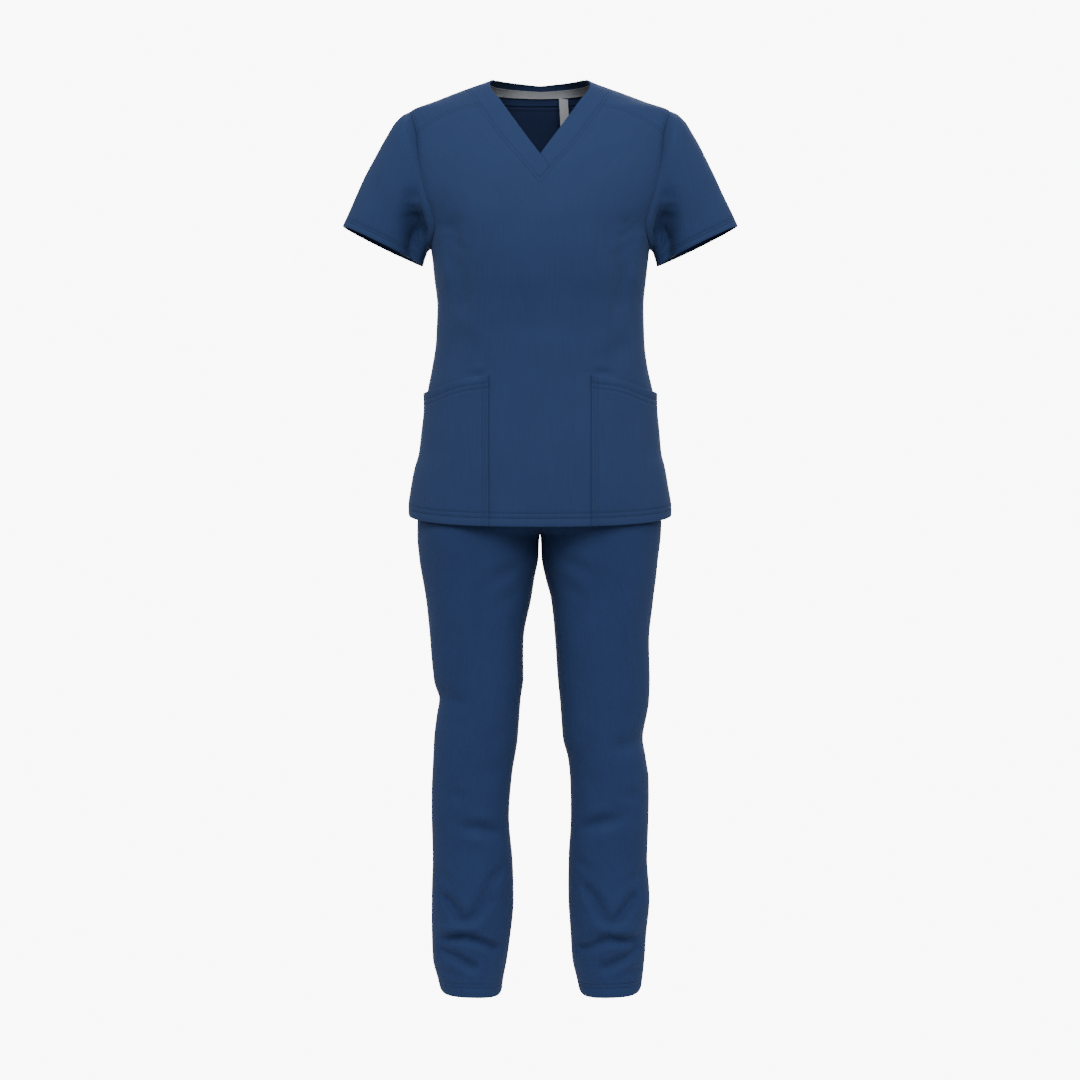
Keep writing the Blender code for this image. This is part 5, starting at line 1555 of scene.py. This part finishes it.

# %% [markdown]

# %% [markdown]
# ## Camera, light and floor
# The photograph looks level at the set's middle height from about five metres, so the
# perspective is slight. The light is broad and soft on plain white: a key and a fill from
# the front and above, a weaker softbox on each side, and one behind for the back. The
# garment is worn clear of the ground, so the floor is below it.

# %% Camera
CAMERA_AWAY = 5.0
CAMERA_HEIGHT = -0.7145
LENS = 107.0
SENSOR = 36.0
camera_data = bpy.data.cameras.new("camera")
camera_data.lens = LENS
camera_data.sensor_width = SENSOR
camera = bpy.data.objects.new("camera", camera_data)
camera.location = (0.0, -CAMERA_AWAY, CAMERA_HEIGHT)
camera.rotation_euler = (math.radians(90), 0.0, 0.0)
bpy.context.scene.collection.objects.link(camera)
bpy.context.scene.camera = camera
print("camera", tuple(camera.location))

# %% Floor
FLOOR_HEIGHT = -1.90
FLOOR_HALF = 1.30
FLOOR_CORNERS = ((-1, -1), (1, -1), (1, 1), (-1, 1))
floor_mesh = bpy.data.meshes.new("floor")
floor_mesh.from_pydata([(x * FLOOR_HALF, y * FLOOR_HALF, FLOOR_HEIGHT) for x, y in FLOOR_CORNERS], [],
                       [(0, 1, 2, 3)])
pale = bpy.data.materials.new("pale_studio_floor")
pale.use_nodes = True
paint = pale.node_tree.nodes["Principled BSDF"].inputs
paint["Base Color"].default_value = linear("#e8e8e8")
paint["Roughness"].default_value = 0.9
floor_mesh.materials.append(pale)
floor = bpy.data.objects.new("floor", floor_mesh)
bpy.context.scene.collection.objects.link(floor)
print("floor", round(LEG_HEM_FRONT - FLOOR_HEIGHT, 3), "m below the leg hems")

# %% Backdrop
world = bpy.data.worlds.new("white_studio")
bpy.context.scene.world = world
world.use_nodes = True
# A lit white backdrop stands behind the set. The rest of the room is dimmer, and dimmest below.
BACKDROP_FROM = 0.90
BACKDROP_FULL = 0.97
BACKDROP_BRIGHTNESS = 9.5
ROOM_FLOOR_BRIGHTNESS = 0.30
ROOM_CEILING_BRIGHTNESS = 0.95
studio = world.node_tree
direction = add_node(studio, "ShaderNodeTexCoord", {}, {}).outputs["Generated"]
parts = add_node(studio, "ShaderNodeSeparateXYZ", {}, {"Vector": direction}).outputs
room = add_node(studio, "ShaderNodeMapRange", {},
                {"Value": parts["Z"], "From Min": -1.0, "From Max": 1.0,
                 "To Min": ROOM_FLOOR_BRIGHTNESS, "To Max": ROOM_CEILING_BRIGHTNESS})
backdrop = add_node(studio, "ShaderNodeMapRange", {"interpolation_type": "SMOOTHSTEP"},
                    {"Value": parts["Y"], "From Min": BACKDROP_FROM, "From Max": BACKDROP_FULL,
                     "To Min": 0.0, "To Max": BACKDROP_BRIGHTNESS})
strength = add_node(studio, "ShaderNodeMath", {"operation": "MAXIMUM"},
                    {0: room.outputs["Result"], 1: backdrop.outputs["Result"]})
studio.nodes["Background"].inputs["Color"].default_value = linear("#ffffff")
studio.links.new(strength.outputs["Value"], studio.nodes["Background"].inputs["Strength"])
print("backdrop", BACKDROP_BRIGHTNESS, "and ceiling", ROOM_CEILING_BRIGHTNESS)

# %% Softboxes
SOFTBOXES = (
    # name, place, what it faces, size, power in watts
    ("key_softbox", (-0.7, -3.0, 2.3), (0.0, 0.0, -0.6), 1.5, 146),
    ("fill_softbox", (1.1, -3.2, 1.3), (0.0, 0.0, -0.7), 1.5, 85),
    ("left_softbox", (2.7, -1.0, 0.7), (0.15, 0.0, -0.5), 1.2, 45),
    ("right_softbox", (-2.7, -1.0, 0.7), (-0.15, 0.0, -0.5), 1.2, 45),
    ("back_softbox", (0.9, 3.0, 2.3), (0.0, 0.0, -0.7), 1.5, 90),
)


def add_softbox(name, place, aim, size, power):
    """A large square light that faces a point."""
    data = bpy.data.lights.new(name, "AREA")
    data.size = size
    data.energy = power
    lamp = bpy.data.objects.new(name, data)
    lamp.location = place
    towards = unit(np.array(aim) - np.array(place))
    lamp.rotation_euler = (math.acos(-towards[2]), 0.0, math.atan2(-towards[0], towards[1]))
    bpy.context.scene.collection.objects.link(lamp)


for softbox in SOFTBOXES:
    add_softbox(*softbox)
